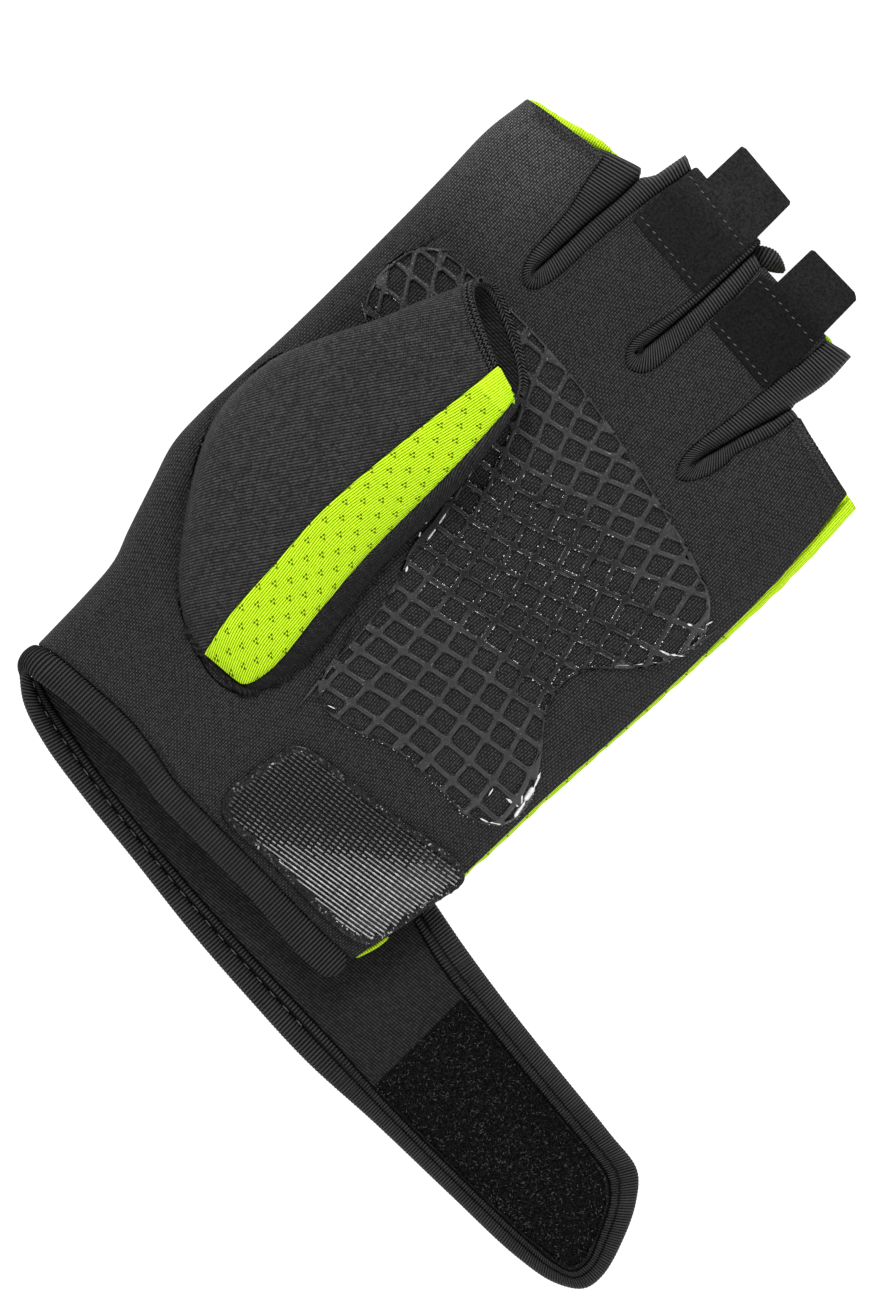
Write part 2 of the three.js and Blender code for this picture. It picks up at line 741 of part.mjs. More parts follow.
/** The back's section: flat on the surface, with a lip that rises under the palm's pinky edge. */
function backLoop(y) {
  const start = indexSide(y) + WRAP_WIDTH + SEAM_GAP;
  const side = backSide(y);
  const seam = Math.min(pinkySide(y), side - 0.4) - 1.9;
  const outerLip = [
    [side - 4, 0],
    [side - 1.5, 0.4],
    [side - 0.4, 1.2],
    [side, 2.0],
    [side - 0.2, LIP_HEIGHT],
  ];
  const innerLip = [
    [seam - 2.2, BACK_WALL],
    [seam - 1.1, 1.4],
    [seam - 0.5, 1.8],
    [seam - 0.1, 2.2],
    [seam, LIP_HEIGHT],
  ];
  const flat = spread(start, side - 12, 4);
  const outer = [...flat.map((x) => [x, 0]), ...outerLip];
  const inner = [...flat.map((x) => [x, BACK_WALL]), ...innerLip];
  return [...outer, ...inner.reverse()].map(([x, z]) => [x, y, z]);
}

/** The cut for the neon stripe, grown by a clearance at its base and sides. */
function stripeCut(clearance) {
  const loops = STRIPE.map(({ y, left, right, low }, i) => {
    const place = i === 0 ? y - clearance : y;
    return [
      [left - clearance, place, low - clearance],
      [right + clearance, place, low - clearance],
      [right + clearance, place, STRIPE_TOP],
      [left - clearance, place, STRIPE_TOP],
    ];
  });
  return solid(loft(loops));
}

/** The thumb's hem, stripe and sleeve, standing clear of the palm and its print. */
function buildThumb() {
  const shell = thumbTube(0).subtract(thumbTube(THUMB_WALL));
  const overPrint = underPalm(PRINT_THICKNESS + SHEET_LIFT + SEAM_GAP);
  const printSide = block(-FAR, FAR, THUMB_OVER_PRINT_Y, FAR);
  const tube = shell.subtract(underPalm(SEAM_GAP)).subtract(overPrint.intersect(printSide));
  const whole = tube.subtract(pastMouth(0));
  const body = whole.subtract(pastMouth(HEM_WIDTH + SEAM_GAP));
  return {
    hem: whole.intersect(pastMouth(HEM_WIDTH)),
    stripe: body.intersect(stripeCut(0)),
    sleeve: body.subtract(stripeCut(SEAM_GAP)),
  };
}

/** The strap binding's matching edge points as smooth curves. */
function strapRails(steps) {
  const outer = STRAP_EDGE.map((row) => new THREE.Vector3(row.outerX, row.outerY, 0));
  const inner = STRAP_EDGE.map((row) => new THREE.Vector3(row.innerX, row.innerY, 0));
  const smooth = (knots) => new THREE.CatmullRomCurve3(knots, false, "centripetal");
  const [outerCurve, innerCurve] = [smooth(outer), smooth(inner)];
  return spread(0, 1, steps).map((t) => ({
    outer: outerCurve.getPoint(t),
    inner: innerCurve.getPoint(t),
  }));
}

/** The binding round the wrist band and its strap. */
function buildStrapBinding() {
  const steps = strapRails(56).map(({ outer, inner }) => {
    const low = underside(Math.max(outer.x, STRAP_CURL_X), STRAP_CURL_Y);
    return { outer, inner, low, high: low + BINDING_HEIGHT };
  });
  return bar(steps);
}

/** The wrist band's cloth and its strap, inside the binding. */
function buildStrap() {
  const lowerRows = STRAP_EDGE.slice(0, STRAP_END_ROW + 1);
  const upperRows = STRAP_EDGE.slice(STRAP_END_ROW + 1);
  const lower = follow(lowerRows, "innerX", "innerY");
  const upper = follow(upperRows, "innerX", "innerY");
  const wristSide = [-41.2, -39.4, -37.6, -35, -31, -25, -15, -5, 10, 25, 40, STRAP_LEAVES_X - 0.2];
  const strapSide = [STRAP_LEAVES_X + 0.2, 55, 65, 75, 85, 95, 103, 109, 113, 116, 117.6];
  const section = (x, top) => {
    const foot = lower(x) + STRAP_INSET;
    const z = underside(x, STRAP_CURL_Y);
    return [
      [x, foot, z],
      [x, top, z],
      [x, top, z + STRAP_WALL],
      [x, foot, z + STRAP_WALL],
    ];
  };
  const loops = [
    ...wristSide.map((x) => section(x, STRAP_TOP_Y)),
    ...strapSide.map((x) => section(x, upper(x) - STRAP_INSET)),
  ];
  const wrapEdge = indexSide(BACK_WRIST_Y) + WRAP_WIDTH + 3 * SEAM_GAP;
  return solid(loft(loops)).subtract(block(-FAR, wrapEdge, WRAP_END_Y, 0));
}

/** The binding along the wrist edge of the palm. */
function buildPalmBinding() {
  const seam = follow(PALM_WRIST, "x", "seam");
  const hem = follow(PALM_WRIST, "x", "hem");
  const steps = spread(PALM_BINDING_LEFT, PALM_BINDING_RIGHT, 20).map((x) => {
    const top = palmTop(x, seam(x)) + PALM_BINDING_LIFT;
    return {
      outer: { x, y: hem(x) },
      inner: { x, y: seam(x) - 0.1 },
      low: top - PALM_WALL - 2 * PALM_BINDING_LIFT,
      high: top,
    };
  });
  return bar(steps);
}

const glove = new THREE.Group();
glove.name = "fitness_glove";
glove.add(piece("palm_panel", buildPalm(), "knit"));
glove.add(piece("back_panel", buildBack(), "mesh"));
for (const [name, { rows }] of Object.entries(GAPS)) {
  glove.add(piece(name, gapBand(rows), "ribbed"));
}
for (const [name, outline] of Object.entries(TABS)) {
  glove.add(piece(name, palmSheet(outline, SHEET_LIFT, TAB_THICKNESS), "suede"));
}
const printShape = rounded(PRINT_OUTLINE, 80);
glove.add(piece("grip_print", palmSheet(printShape, SHEET_LIFT, PRINT_THICKNESS), "silicone"));
glove.add(piece("hook_patch", palmSheet(HOOK_OUTLINE, SHEET_LIFT, HOOK_THICKNESS), "hook"));
const thumb = buildThumb();
glove.add(piece("thumb_sleeve", thumb.sleeve, "twill"));
glove.add(piece("thumb_stripe", thumb.stripe, "mesh"));
glove.add(piece("thumb_hem", thumb.hem, "ribbed"));
glove.add(piece("wrist_strap", buildStrap(), "knit"));
glove.add(piece("strap_binding", buildStrapBinding(), "ribbed"));
glove.add(piece("palm_binding", buildPalmBinding(), "ribbed"));
const loopBase = STRAP_WALL + SEAM_GAP;
glove.add(piece("loop_patch", prism(LOOP_OUTLINE, loopBase, loopBase + LOOP_THICKNESS), "pile"));

export default glove;
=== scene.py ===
import logging
import math
import random
from bisect import bisect_left, bisect_right
from dataclasses import dataclass
from enum import Enum
from functools import cache
from itertools import accumulate, pairwise
from typing import Callable, Iterable, Sequence

import bmesh
import bpy
from bmesh.types import BMEdge, BMesh, BMFace, BMVert
from mathutils import Matrix, Vector, noise


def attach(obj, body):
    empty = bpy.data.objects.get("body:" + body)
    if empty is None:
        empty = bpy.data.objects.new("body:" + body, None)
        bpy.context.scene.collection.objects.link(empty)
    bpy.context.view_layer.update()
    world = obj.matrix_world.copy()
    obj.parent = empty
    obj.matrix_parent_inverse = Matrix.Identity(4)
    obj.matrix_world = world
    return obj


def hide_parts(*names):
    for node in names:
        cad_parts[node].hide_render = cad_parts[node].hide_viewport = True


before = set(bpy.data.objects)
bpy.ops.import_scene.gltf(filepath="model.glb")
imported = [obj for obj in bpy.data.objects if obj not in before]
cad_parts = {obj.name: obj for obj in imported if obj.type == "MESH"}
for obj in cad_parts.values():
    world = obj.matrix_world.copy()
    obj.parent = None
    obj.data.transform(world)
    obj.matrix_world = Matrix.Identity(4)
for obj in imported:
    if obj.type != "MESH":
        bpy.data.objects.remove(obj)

log = logging.getLogger("fitness_glove")
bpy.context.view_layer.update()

MM = 0.001
CLOTH_UV = "cloth"
BODY = "root"

SKIN_LIFT = 0.3
PALM_WALL = 1.4
CROWN_DROP = 1.6
SHOULDER_WIDTH = 10
WRAP_WIDTH = 13
FINGER_DIP = 1
DIP_REACH = 4
DIP_RAMP = 14
SLIT_Z = 1.5
THUMB_ROUNDNESS = 2.4
STRAP_WALL = 1.6

# The y at which the underside's curl is read for the strap, and the least x
STRAP_CURL_Y = -62
STRAP_CURL_X = -41.6

# The height of a ridge that counts as the cloth's own
RIDGE_MIDDLE = 0.6
FAR_AWAY = 1e9

UP = Vector((0, 0, 1))
# Up for shapes whose axis may itself point straight up
NEARLY_UP = Vector((0.01, 0, 1))

Pair = tuple[float, float]
Triple = tuple[float, float, float]
Four = tuple[float, float, float, float]
Rows = Sequence[tuple[float, ...]]
Place = Callable[[float, float], Vector]
Depth = Callable[[Vector], float]


def clamp(value: float, low: float, high: float) -> float:
    """The value kept between low and high."""
    return max(low, min(high, value))


def blend(start: float, end: float, share: float) -> float:
    """The value at a share of the way from start to end."""
    return start + (end - start) * share


def smoothstep(value: float, low: float, high: float) -> float:
    """0 below low, 1 above high, and a smooth rise between."""
    share = clamp((value - low) / (high - low), 0, 1)
    return share * share * (3 - 2 * share)


def ridge(phase: float) -> float:
    """A row of round ridges with sharp grooves, one for each whole number of the phase."""
    return abs(math.sin(math.pi * phase)) ** 0.8


def swell(x: float, y: float, size: float, seed: float) -> float:
    """A soft uneven rise and fall between -1 and 1, about one size across."""
    return noise.noise(Vector((x / size, y / size, seed)))


def unevenness(x: float, y: float, swells: Rows) -> float:
    """The sum of soft rises and falls, each of a height, a size and a seed."""
    return sum(height * swell(x, y, size, seed) for height, size, seed in swells)


class Follow:
    """One column of a table as a smooth function of its key column, straight beyond the ends."""

    def __init__(self, rows: Rows, key: int, column: int) -> None:
        """Sorts the rows and works out the slope at each.

        Args:
            rows: the table.
            key: the column that the function reads.
            column: the column that it gives.
        """
        pairs = sorted((row[key], row[column]) for row in rows)
        self.at, self.value = zip(*pairs)
        ends = [*pairs[:1], *pairs, *pairs[-1:]]
        around = zip(ends, ends[2:])
        self.slope = [(after[1] - before[1]) / (after[0] - before[0]) for before, after in around]

    def __call__(self, place: float) -> float:
        """Reads the function.

        Args:
            place: the key.

        Returns:
            The column's value there.
        """
        at, value, slope = self.at, self.value, self.slope
        if place <= at[0]:
            return value[0] + slope[0] * (place - at[0])
        if place >= at[-1]:
            return value[-1] + slope[-1] * (place - at[-1])
        i = bisect_right(at, place) - 1
        span = at[i + 1] - at[i]
        t = (place - at[i]) / span
        bow = slope[i] * t * (1 - t) ** 2 - slope[i + 1] * t * t * (1 - t)
        return value[i] + (value[i + 1] - value[i]) * (t * t * (3 - 2 * t)) + span * bow


def smooth_line(knots: Sequence[Vector], steps: int, closed: bool = False) -> list[Vector]:
    """Points on a smooth curve through knots, tight where the knots are close.

    Args:
        knots: the points that the curve goes through.
        steps: how many points to give.
        closed: whether the curve ends where it starts.

    Returns:
        The points in order.
    """
    count = len(knots)
    spans = count if closed else count - 1
    points = []
    for k in range(steps):
        place = k * spans / (steps if closed else steps - 1)
        i = min(int(place), spans - 1)
        t = place - i
        if closed:
            p0, p1, p2, p3 = (knots[(i + j) % count] for j in (-1, 0, 1, 2))
        else:
            p1, p2 = knots[i], knots[i + 1]
            p0 = knots[i - 1] if i > 0 else p1 * 2 - p2
            p3 = knots[i + 2] if i + 2 < count else p2 * 2 - p1
        d0, d1, d2 = (max(math.sqrt((b - a).length), 1e-3) for a, b in ((p0, p1), (p1, p2), (p2, p3)))
        m1 = ((p1 - p0) / d0 - (p2 - p0) / (d0 + d1) + (p2 - p1) / d1) * d1
        m2 = ((p2 - p1) / d1 - (p3 - p1) / (d1 + d2) + (p3 - p2) / d2) * d1
        bow = p1 * (2 * t**3 - 3 * t**2 + 1) + m1 * (t**3 - 2 * t**2 + t)
        points.append(bow + p2 * (3 * t**2 - 2 * t**3) + m2 * (t**3 - t**2))
    return points


class Route:
    """A line of points that can be read at any distance along it, with others that go along with it."""

    def __init__(self, points: Sequence[Vector], *partners: Sequence[Vector]) -> None:
        """Measures the line.

        Args:
            points: the line that the distance is measured on.
            partners: lines with as many points, read at the same places.
        """
        self.lines = [list(points), *(list(partner) for partner in partners)]
        self.marks = [0, *accumulate((b - a).length for a, b in pairwise(points))]
        self.length = self.marks[-1]

    def at(self, distance: float) -> list[Vector]:
        """Reads the lines.

        Args:
            distance: how far along the first line.

        Returns:
            The point of each line there.
        """
        distance = clamp(distance, 0, self.length)
        low = min(bisect_right(self.marks, distance), len(self.marks) - 1) - 1
        span = self.marks[low + 1] - self.marks[low]
        share = (distance - self.marks[low]) / span if span else 0
        return [line[low].lerp(line[low + 1], share) for line in self.lines]

    def heading(self, distance: float, step: float = 0.3) -> Vector:
        """The direction of the first line at a distance along it."""
        return (self.at(distance + step)[0] - self.at(distance - step)[0]).normalized()


def plan(points: Iterable[Sequence[float]]) -> list[Vector]:
    """Plan points as vectors on the ground."""
    return [Vector((point[0], point[1], 0)) for point in points]


def leftward(heading: Vector) -> Vector:
    """The plan direction to the left of a heading."""
    return Vector((-heading.y, heading.x, 0))


def moved(points: Sequence[Vector], distance: float, closed: bool = False) -> list[Vector]:
    """Moves plan points to the left of their line.

    Args:
        points: the line.
        distance: how far they move.
        closed: whether the line ends where it starts.

    Returns:
        The moved points.
    """
    last = len(points) - 1
    result = []
    for i, point in enumerate(points):
        before = points[i - 1] if closed or i > 0 else points[0]
        after = points[(i + 1) % (last + 1)] if closed or i < last else points[last]
        result.append(point + leftward((after - before).normalized()) * distance)
    return result


class Outline:
    """A closed plan outline that says how far inside it a point lies."""

    # How far outside the outline's box the distance is only estimated
    reach = 3

    def __init__(self, points: Sequence[Vector]) -> None:
        """Keeps the points and their box.

        Args:
            points: the outline's corners.
        """
        self.points = list(points)
        self.low = Vector((min(p.x for p in points), min(p.y for p in points), 0))
        self.high = Vector((max(p.x for p in points), max(p.y for p in points), 0))

    def depth(self, x: float, y: float) -> float:
        """Measures the distance to the outline.

        Args:
            x: the spot's x.
            y: its y.

        Returns:
            The distance, negative outside.
        """
        aside = max(self.low.x - x, x - self.high.x, self.low.y - y, y - self.high.y)
        if aside > self.reach:
            return -aside
        inside = False
        nearest = FAR_AWAY
        a = self.points[-1]
        for b in self.points:
            if (a.y > y) != (b.y > y) and x < a.x + (b.x - a.x) * (y - a.y) / (b.y - a.y):
                inside = not inside
            dx, dy = b.x - a.x, b.y - a.y
            square = dx * dx + dy * dy
            share = clamp(((x - a.x) * dx + (y - a.y) * dy) / square, 0, 1) if square else 0
            nearest = min(nearest, (a.x + dx * share - x) ** 2 + (a.y + dy * share - y) ** 2)
            a = b
        return math.sqrt(nearest) * (1 if inside else -1)

    def inside(self, point: Vector) -> float:
        """The distance from a plan point to the outline, negative outside it, for a cut."""
        return self.depth(point.x, point.y)


# Columns: y, index side, pinky side, back side, crown height, edge height
PALM: Rows = [
    (104, -49.2, 45.5, 50, 11, 4.4), (85, -50.5, 47.6, 50.4, 11.4, 4.4), (75, -51.7, 48.4, 50.9, 11.7, 4.4),
    (63, -51.4, 50, 51.5, 12, 4.4), (50, -51.2, 50.8, 51.8, 12.3, 4.4), (30, -51.2, 50.8, 51.3, 12.6, 4.4),
    (18, -51.4, 50.4, 50.8, 12.6, 4.4), (5, -52, 49.7, 50, 12.6, 4.4), (-4, -52.3, 49, 49.5, 12.5, 4.4),
    (-12, -51.8, 48.6, 49, 12.4, 4.5), (-20, -49.3, 48.4, 48.8, 12.2, 4.8),
    (-30, -46, 48.1, 48.3, 11.8, 5.6), (-36, -43.8, 47.8, 48, 11.5, 6.2), (-43, -43.1, 46.8, 47, 11.5, 6.8),
    (-58, -42.7, 44.5, 46, 11.4, 7.4), (-66, -42.6, 44, 46, 11.3, 7.5),
]


@dataclass(frozen=True)
class FingerGap:
    """One gap between two fingers: its axis, and the palm's edge and the slit below it."""

    name: str
    crotch: Pair
    tip: Pair
    half: float
    # Edge x, edge y, slit x, slit y, from the index side round the crotch
    rows: Rows

    def rails(self, steps: int = 140) -> list[list[Vector]]:
        """The palm's edge and the slit as matching smooth lines."""
        return [smooth_line(plan((row[k], row[k + 1]) for row in self.rows), steps) for k in (0, 2)]

    def room(self, clearance: float, far: float = 40) -> Outline:
        """The plan area that the gap takes from the palm, out past the finger ends."""
        edge = moved(self.rails()[0], clearance)
        return Outline([*edge, *(Vector((point.x, point.y + far, 0)) for point in (edge[-1], edge[0]))])


GAPS = [
    FingerGap("index_middle_band", (-25.2, 58.4), (-25, 98), 4, [
        (-32.2, 88.6, -25.8, 91), (-31.4, 82.6, -24.8, 84), (-29.8, 75.6, -25.5, 76),
        (-29.2, 69.5, -25.7, 69.5), (-28.8, 63.8, -26.3, 65), (-27.4, 60.2, -26.4, 63),
        (-25.1, 58.4, -25.8, 62.2), (-23.1, 59.5, -25.2, 62.9), (-22, 62.9, -25, 64.6),
        (-21.6, 67.7, -25, 68.5), (-21.3, 73.8, -24.8, 74), (-20.7, 80.8, -24.2, 80.8),
        (-19.6, 89.1, -22.9, 89.3), (-18.1, 97.6, -21.2, 98.9),
    ]),
    FingerGap("middle_ring_band", (0.8, 61.4), (2.8, 97), 2.8, [
        (0.9, 97, 1.3, 97.4), (0.6, 91.3, 1.1, 91.3), (-0.2, 81.3, 0.7, 81.3), (-0.9, 75.6, 0.2, 75.6),
        (-2.2, 69.5, -0.4, 70.5), (-2.7, 66, -0.7, 67.8), (-2, 63.4, -0.6, 66.5), (0.4, 61.4, 0, 66),
        (3.1, 62.5, 0.6, 66.8), (4.4, 65.6, 0.8, 69.2), (4.7, 72.1, 1.2, 74), (5, 79.1, 1.6, 80),
        (5.4, 86.9, 1.9, 87.5), (4.9, 93.8, 2.1, 94.8),
    ]),
    FingerGap("ring_pinky_band", (22.4, 52.9), (27.5, 94), 3.6, [
        (24.1, 92.8, 29.8, 94), (23.6, 87.4, 30, 87.5), (22.7, 80.4, 28.8, 80.6), (22, 73, 26.4, 73.5),
        (21.1, 66, 24.4, 66.2), (20.3, 60.8, 23, 61.8), (20.4, 56.4, 22.3, 59.4), (22.2, 52.9, 22.8, 58.4),
        (24.4, 53.8, 23.7, 59), (26.2, 57.3, 24.3, 61), (27, 60.8, 24.9, 63.5), (27.5, 65.1, 25.6, 66.3),
        (28.8, 69.5, 27, 70.3), (30.2, 73.8, 28.4, 74), (30.6, 78.2, 29.2, 78.4),
    ]),
]
PALM_TIPS: Rows = [
    (-60, 84.4), (-50.5, 85), (-32.4, 87.6), (-25.1, 89.4), (-24.9, 99.2), (-21, 99), (0.9, 97.2),
    (2.9, 96.8), (3.1, 94.3), (23.5, 93.3), (25.5, 93), (25.7, 78.7), (30.4, 78.6), (36, 77), (46, 75),
    (60, 72.8),
]
BACK_TIPS: Rows = [
    (-60, 85), (-50, 86.3), (-38, 88.7), (-31, 89.7), (-25.1, 90.2), (-24.9, 98.4), (-14.5, 97.6),
    (1.6, 96.8), (2, 93.8), (16, 92.6), (28.5, 92.4), (28.7, 78.6), (36, 77.4), (51, 73.9), (60, 72),
]

# Columns: x, the seam of the palm's wrist binding, and the binding's lower edge
PALM_WRIST: Rows = [
    (-43, -58.6, -63.4), (-40, -57.5, -63.5), (-30, -56.5, -62.2), (-20, -56.1, -61.9), (-12, -57, -62.1),
    (-5, -58.3, -63.3), (20, -58.6, -63.8), (36, -58.9, -65), (44.5, -58.5, -64.5),
]


def straight(rows: Rows, x: float) -> float:
    """Reads a plan line of straight stretches.

    Args:
        rows: the x and y of the line's corners.
        x: the place along it.

    Returns:
        The line's y there.
    """
    for (x0, y0), (x1, y1) in pairwise(rows):
        if x <= x1:
            return blend(y0, y1, (x - x0) / (x1 - x0))
    return rows[-1][1]


# The sewn crease where the thumb's sleeve leaves the palm, from the index side round its base
CREASE: Rows = [
    (-48.8, 16), (-50.4, 8), (-50.6, 0.2), (-47.9, -6.8), (-42.5, -17.6), (-36.4, -26.4), (-28.9, -32.6),
    (-18.7, -36.2), (-9, -35.2), (-4.6, -31),
]


class Hand:
    """The lying glove's form, from which every piece takes its place."""

    # How deep the cloth is drawn in along the thumb's crease, where that fades out, and the crease's box
    crease_depth = 1.3
    crease_fade = (18, 8)
    crease_box = (-54, -2, -40, 20)
    # The height, size and seed of each unevenness of the lying cloth
    ripples = ((0.35, 26, 3.1), (0.12, 9, 7.7))

    def __init__(self) -> None:
        """Makes the smooth functions of the palm's table."""
        self._columns = [Follow(PALM, 0, column) for column in range(1, 6)]
        self._rows: dict[float, tuple[float, ...]] = {}
        self.wrist_seam = Follow(PALM_WRIST, 0, 1)
        self.wrist_hem = Follow(PALM_WRIST, 0, 2)
        self._crease = smooth_line(plan(CREASE), 40)

    def row(self, y: float) -> tuple[float, ...]:
        """Reads the palm's table.

        Args:
            y: the place along the glove.

        Returns:
            Index side, pinky side, back side, crown height and edge height there.
        """
        key = round(y, 3)
        if key not in self._rows:
            self._rows[key] = tuple(column(key) for column in self._columns)
        return self._rows[key]

    def radius(self, y: float) -> float:
        """Half the height of the rounded index side."""
        return (self.row(y)[3] - CROWN_DROP) / 2

    def dip(self, x: float, y: float) -> float:
        """How far the palm dips beside the finger gaps.

        Args:
            x: the spot's x.
            y: its y.

        Returns:
            The depth of the deepest dip there.
        """
        deepest = 0
        if y < GAPS[2].crotch[1] - DIP_RAMP / 2:
            return deepest
        for gap in GAPS:
            along = (y - gap.crotch[1]) / (gap.tip[1] - gap.crotch[1])
            away = max(0, abs(x - blend(gap.crotch[0], gap.tip[0], along)) - gap.half) / DIP_REACH
            ramp = smoothstep(y, gap.crotch[1] - DIP_RAMP / 2, gap.crotch[1] + DIP_RAMP / 2)
            deepest = max(deepest, FINGER_DIP * ramp * math.exp(-away * away))
        return deepest

    def crease(self, x: float, y: float) -> float:
        """Measures the crease at the thumb's base.

        Args:
            x: the spot's x.
            y: its y.

        Returns:
            How far the cloth is drawn in.
        """
        left, right, near, far = self.crease_box
        if not (left < x < right and near < y < far):
            return 0
        nearest = min((point.x - x) ** 2 + (point.y - y) ** 2 for point in self._crease)
        start, width = self.crease_fade
        return self.crease_depth * smoothstep(start - y, 0, width) * math.exp(-nearest)

    def dome(self, x: float, y: float) -> float:
        """Reads the palm's outer face before it rounds over at the index side.

        Args:
            x: the spot's x.
            y: its y.

        Returns:
            Its height.
        """
        left, right, _, crown, edge = self.row(y)
        across = clamp((2 * x - left - right) / (right - left), -1, 1)
        dome = crown - CROWN_DROP * across * across - self.dip(x, y)
        inward = clamp((right - x) / SHOULDER_WIDTH, 0, 1)
        return edge + (dome - edge) * (1 - (1 - inward) ** 2)

    def ripple(self, x: float, y: float) -> float:
        """The soft unevenness of the lying cloth."""
        return unevenness(x, y, self.ripples)

    def top(self, x: float, y: float) -> float:
        """Reads the palm's cloth.

        Args:
            x: the spot's x.
            y: its y.

        Returns:
            Its height.
        """
        radius = self.radius(y)
        inward = clamp((x - self.row(y)[0]) / radius, 0, 1)
        height = radius + (self.dome(x, y) - radius) * math.sqrt(1 - (1 - inward) ** 2)
        return height + SKIN_LIFT + self.ripple(x, y) - self.crease(x, y)

    def underside(self, x: float, y: float) -> float:
        """Reads the underside, which curls up at the index side.

        Args:
            x: the spot's x.
            y: its y.

        Returns:
            Its height.
        """
        radius = self.radius(y)
        inward = clamp((x - self.row(y)[0]) / radius, 0, 1)
        return radius - radius * math.sqrt(1 - (1 - inward) ** 2)

    def on_top(self, x: float, y: float, lift: float = 0) -> Vector:
        """The point on the palm's cloth at a plan point, with a lift."""
        return Vector((x, y, self.top(x, y) + lift))


HAND = Hand()


def flat_grid(left: float, right: float, near: float, far: float, pitch: float) -> BMesh:
    """Makes a flat grid of squares, in plan units.

    Args:
        left: the grid's least x.
        right: its greatest x.
        near: its least y.
        far: its greatest y.
        pitch: about how wide a square is.

    Returns:
        The grid.
    """
    across = max(1, round((right - left) / pitch))
    along = max(1, round((far - near) / pitch))
    sheet = bmesh.new()
    bmesh.ops.create_grid(sheet, x_segments=across, y_segments=along, size=0.5)
    place = Matrix.Translation(((left + right) / 2, (near + far) / 2, 0))
    place @= Matrix.Diagonal((right - left, far - near, 1, 1))
    bmesh.ops.transform(sheet, matrix=place, verts=sheet.verts)
    return sheet


def flat_cells(across: int, along: int, width: float, length: float) -> BMesh:
    """Makes a flat grid from the origin.

    Args:
        across: how many cells it has across.
        along: how many it has along.
        width: how far it reaches in x.
        length: how far it reaches in y.

    Returns:
        The grid.
    """
    sheet = bmesh.new()
    bmesh.ops.create_grid(sheet, x_segments=across, y_segments=along, size=0.5)
    grow = Matrix.Diagonal((width, length, 1, 1)) @ Matrix.Translation((0.5, 0.5, 0))
    bmesh.ops.transform(sheet, matrix=grow, verts=sheet.verts)
    return sheet


def face_up(sheet: BMesh) -> None:
    """Turns an open sheet's faces to the side that most of it looks up from.

    Args:
        sheet: the sheet.
    """
    bmesh.ops.recalc_face_normals(sheet, faces=sheet.faces)
    if sum(face.normal.z * face.calc_area() for face in sheet.faces) < 0:
        bmesh.ops.reverse_faces(sheet, faces=sheet.faces)


def crossing(a: Vector, b: Vector, inside: Depth) -> float:
    """Finds where inside changes its sign.

    Args:
        a: the start of the way.
        b: its end.
        inside: the function.

    Returns:
        The share of the way from a to b.
    """
    low, high = 0, 1
    start = inside(a) > 0
    for _ in range(7):
        middle = (low + high) / 2
        if (inside(a.lerp(b, middle)) > 0) == start:
            low = middle
        else:
            high = middle
    return (low + high) / 2


def cut(sheet: BMesh, inside: Depth, snap: float = 0.5) -> None:
    """Cuts a flat sheet along the line where inside turns negative.

    Args:
        sheet: the sheet, changed in place.
        inside: positive where the sheet stays.
        snap: how near its end, as a share, an edge's crossing moves that end instead of splitting the edge.
    """
    depth: dict[BMVert, float] = {vert: inside(vert.co) for vert in sheet.verts}
    moves: dict[BMVert, tuple[float, Vector]] = {}
    for edge in sheet.edges:
        a, b = edge.verts
        if depth[a] * depth[b] >= 0:
            continue
        share = crossing(a.co, b.co, inside)
        near, gap = (a, share) if share < 0.5 else (b, 1 - share)
        if gap <= snap and (near not in moves or gap < moves[near][0]):
            moves[near] = (gap, a.co.lerp(b.co, share))
    for vert, (_, point) in moves.items():
        vert.co = point
        depth[vert] = 0
    for edge in list(sheet.edges):
        a, b = edge.verts
        if depth[a] * depth[b] < 0:
            _, made = bmesh.utils.edge_split(edge, a, crossing(a.co, b.co, inside))
            depth[made] = 0
    for face in list(sheet.faces):
        split_at_zero(face, depth)
    gone = [
        face for face in sheet.faces
        if any(depth[vert] < 0 for vert in face.verts) or inside(face.calc_center_median()) < 0
    ]
    bmesh.ops.delete(sheet, geom=gone, context="FACES")


def split_at_zero(face: BMFace, depth: dict[BMVert, float]) -> None:
    """Splits a face that lies on both sides of the cut, between its two corners on the cut.

    Args:
        face: the face.
        depth: how far each corner lies inside the cut.
    """
    corners = list(face.verts)
    values = [depth[vert] for vert in corners]
    if min(values) >= 0 or max(values) <= 0:
        return
    count = len(corners)
    for i in range(count):
        for j in range(i + 2, count):
            between = values[i + 1 : j]
            outside = values[j + 1 :] + values[:i]
            if values[i] or values[j] or not outside:
                continue
            if max(between) <= 0 <= min(outside) or max(outside) <= 0 <= min(between):
                bmesh.utils.face_split(face, corners[i], corners[j])
                return


@dataclass
class FlatSize:
    """The size of a cut sheet before it is laid, in metres."""

    width: float
    length: float
    area: float


def flat_size(sheet: BMesh) -> FlatSize:
    """Measures a sheet that is still flat.

    Args:
        sheet: the sheet, in millimetres.

    Returns:
        Its size in metres.
    """
    spans = [[vert.co[axis] for vert in sheet.verts] for axis in (0, 1)]
    width, length = ((max(span) - min(span)) * MM for span in spans)
    return FlatSize(width, length, sum(face.calc_area() for face in sheet.faces) * MM * MM)


def lay(sheet: BMesh, place: Place) -> None:
    """Moves a flat sheet to its place and keeps its flat plan as the cloth's own map.

    Args:
        sheet: the sheet.
        place: gives the point of the cloth at a flat x and y.
    """
    layer = sheet.loops.layers.uv.new(CLOTH_UV)
    for face in sheet.faces:
        for loop in face.loops:
            loop[layer].uv = loop.vert.co.xy
    for vert in sheet.verts:
        vert.co = place(vert.co.x, vert.co.y)


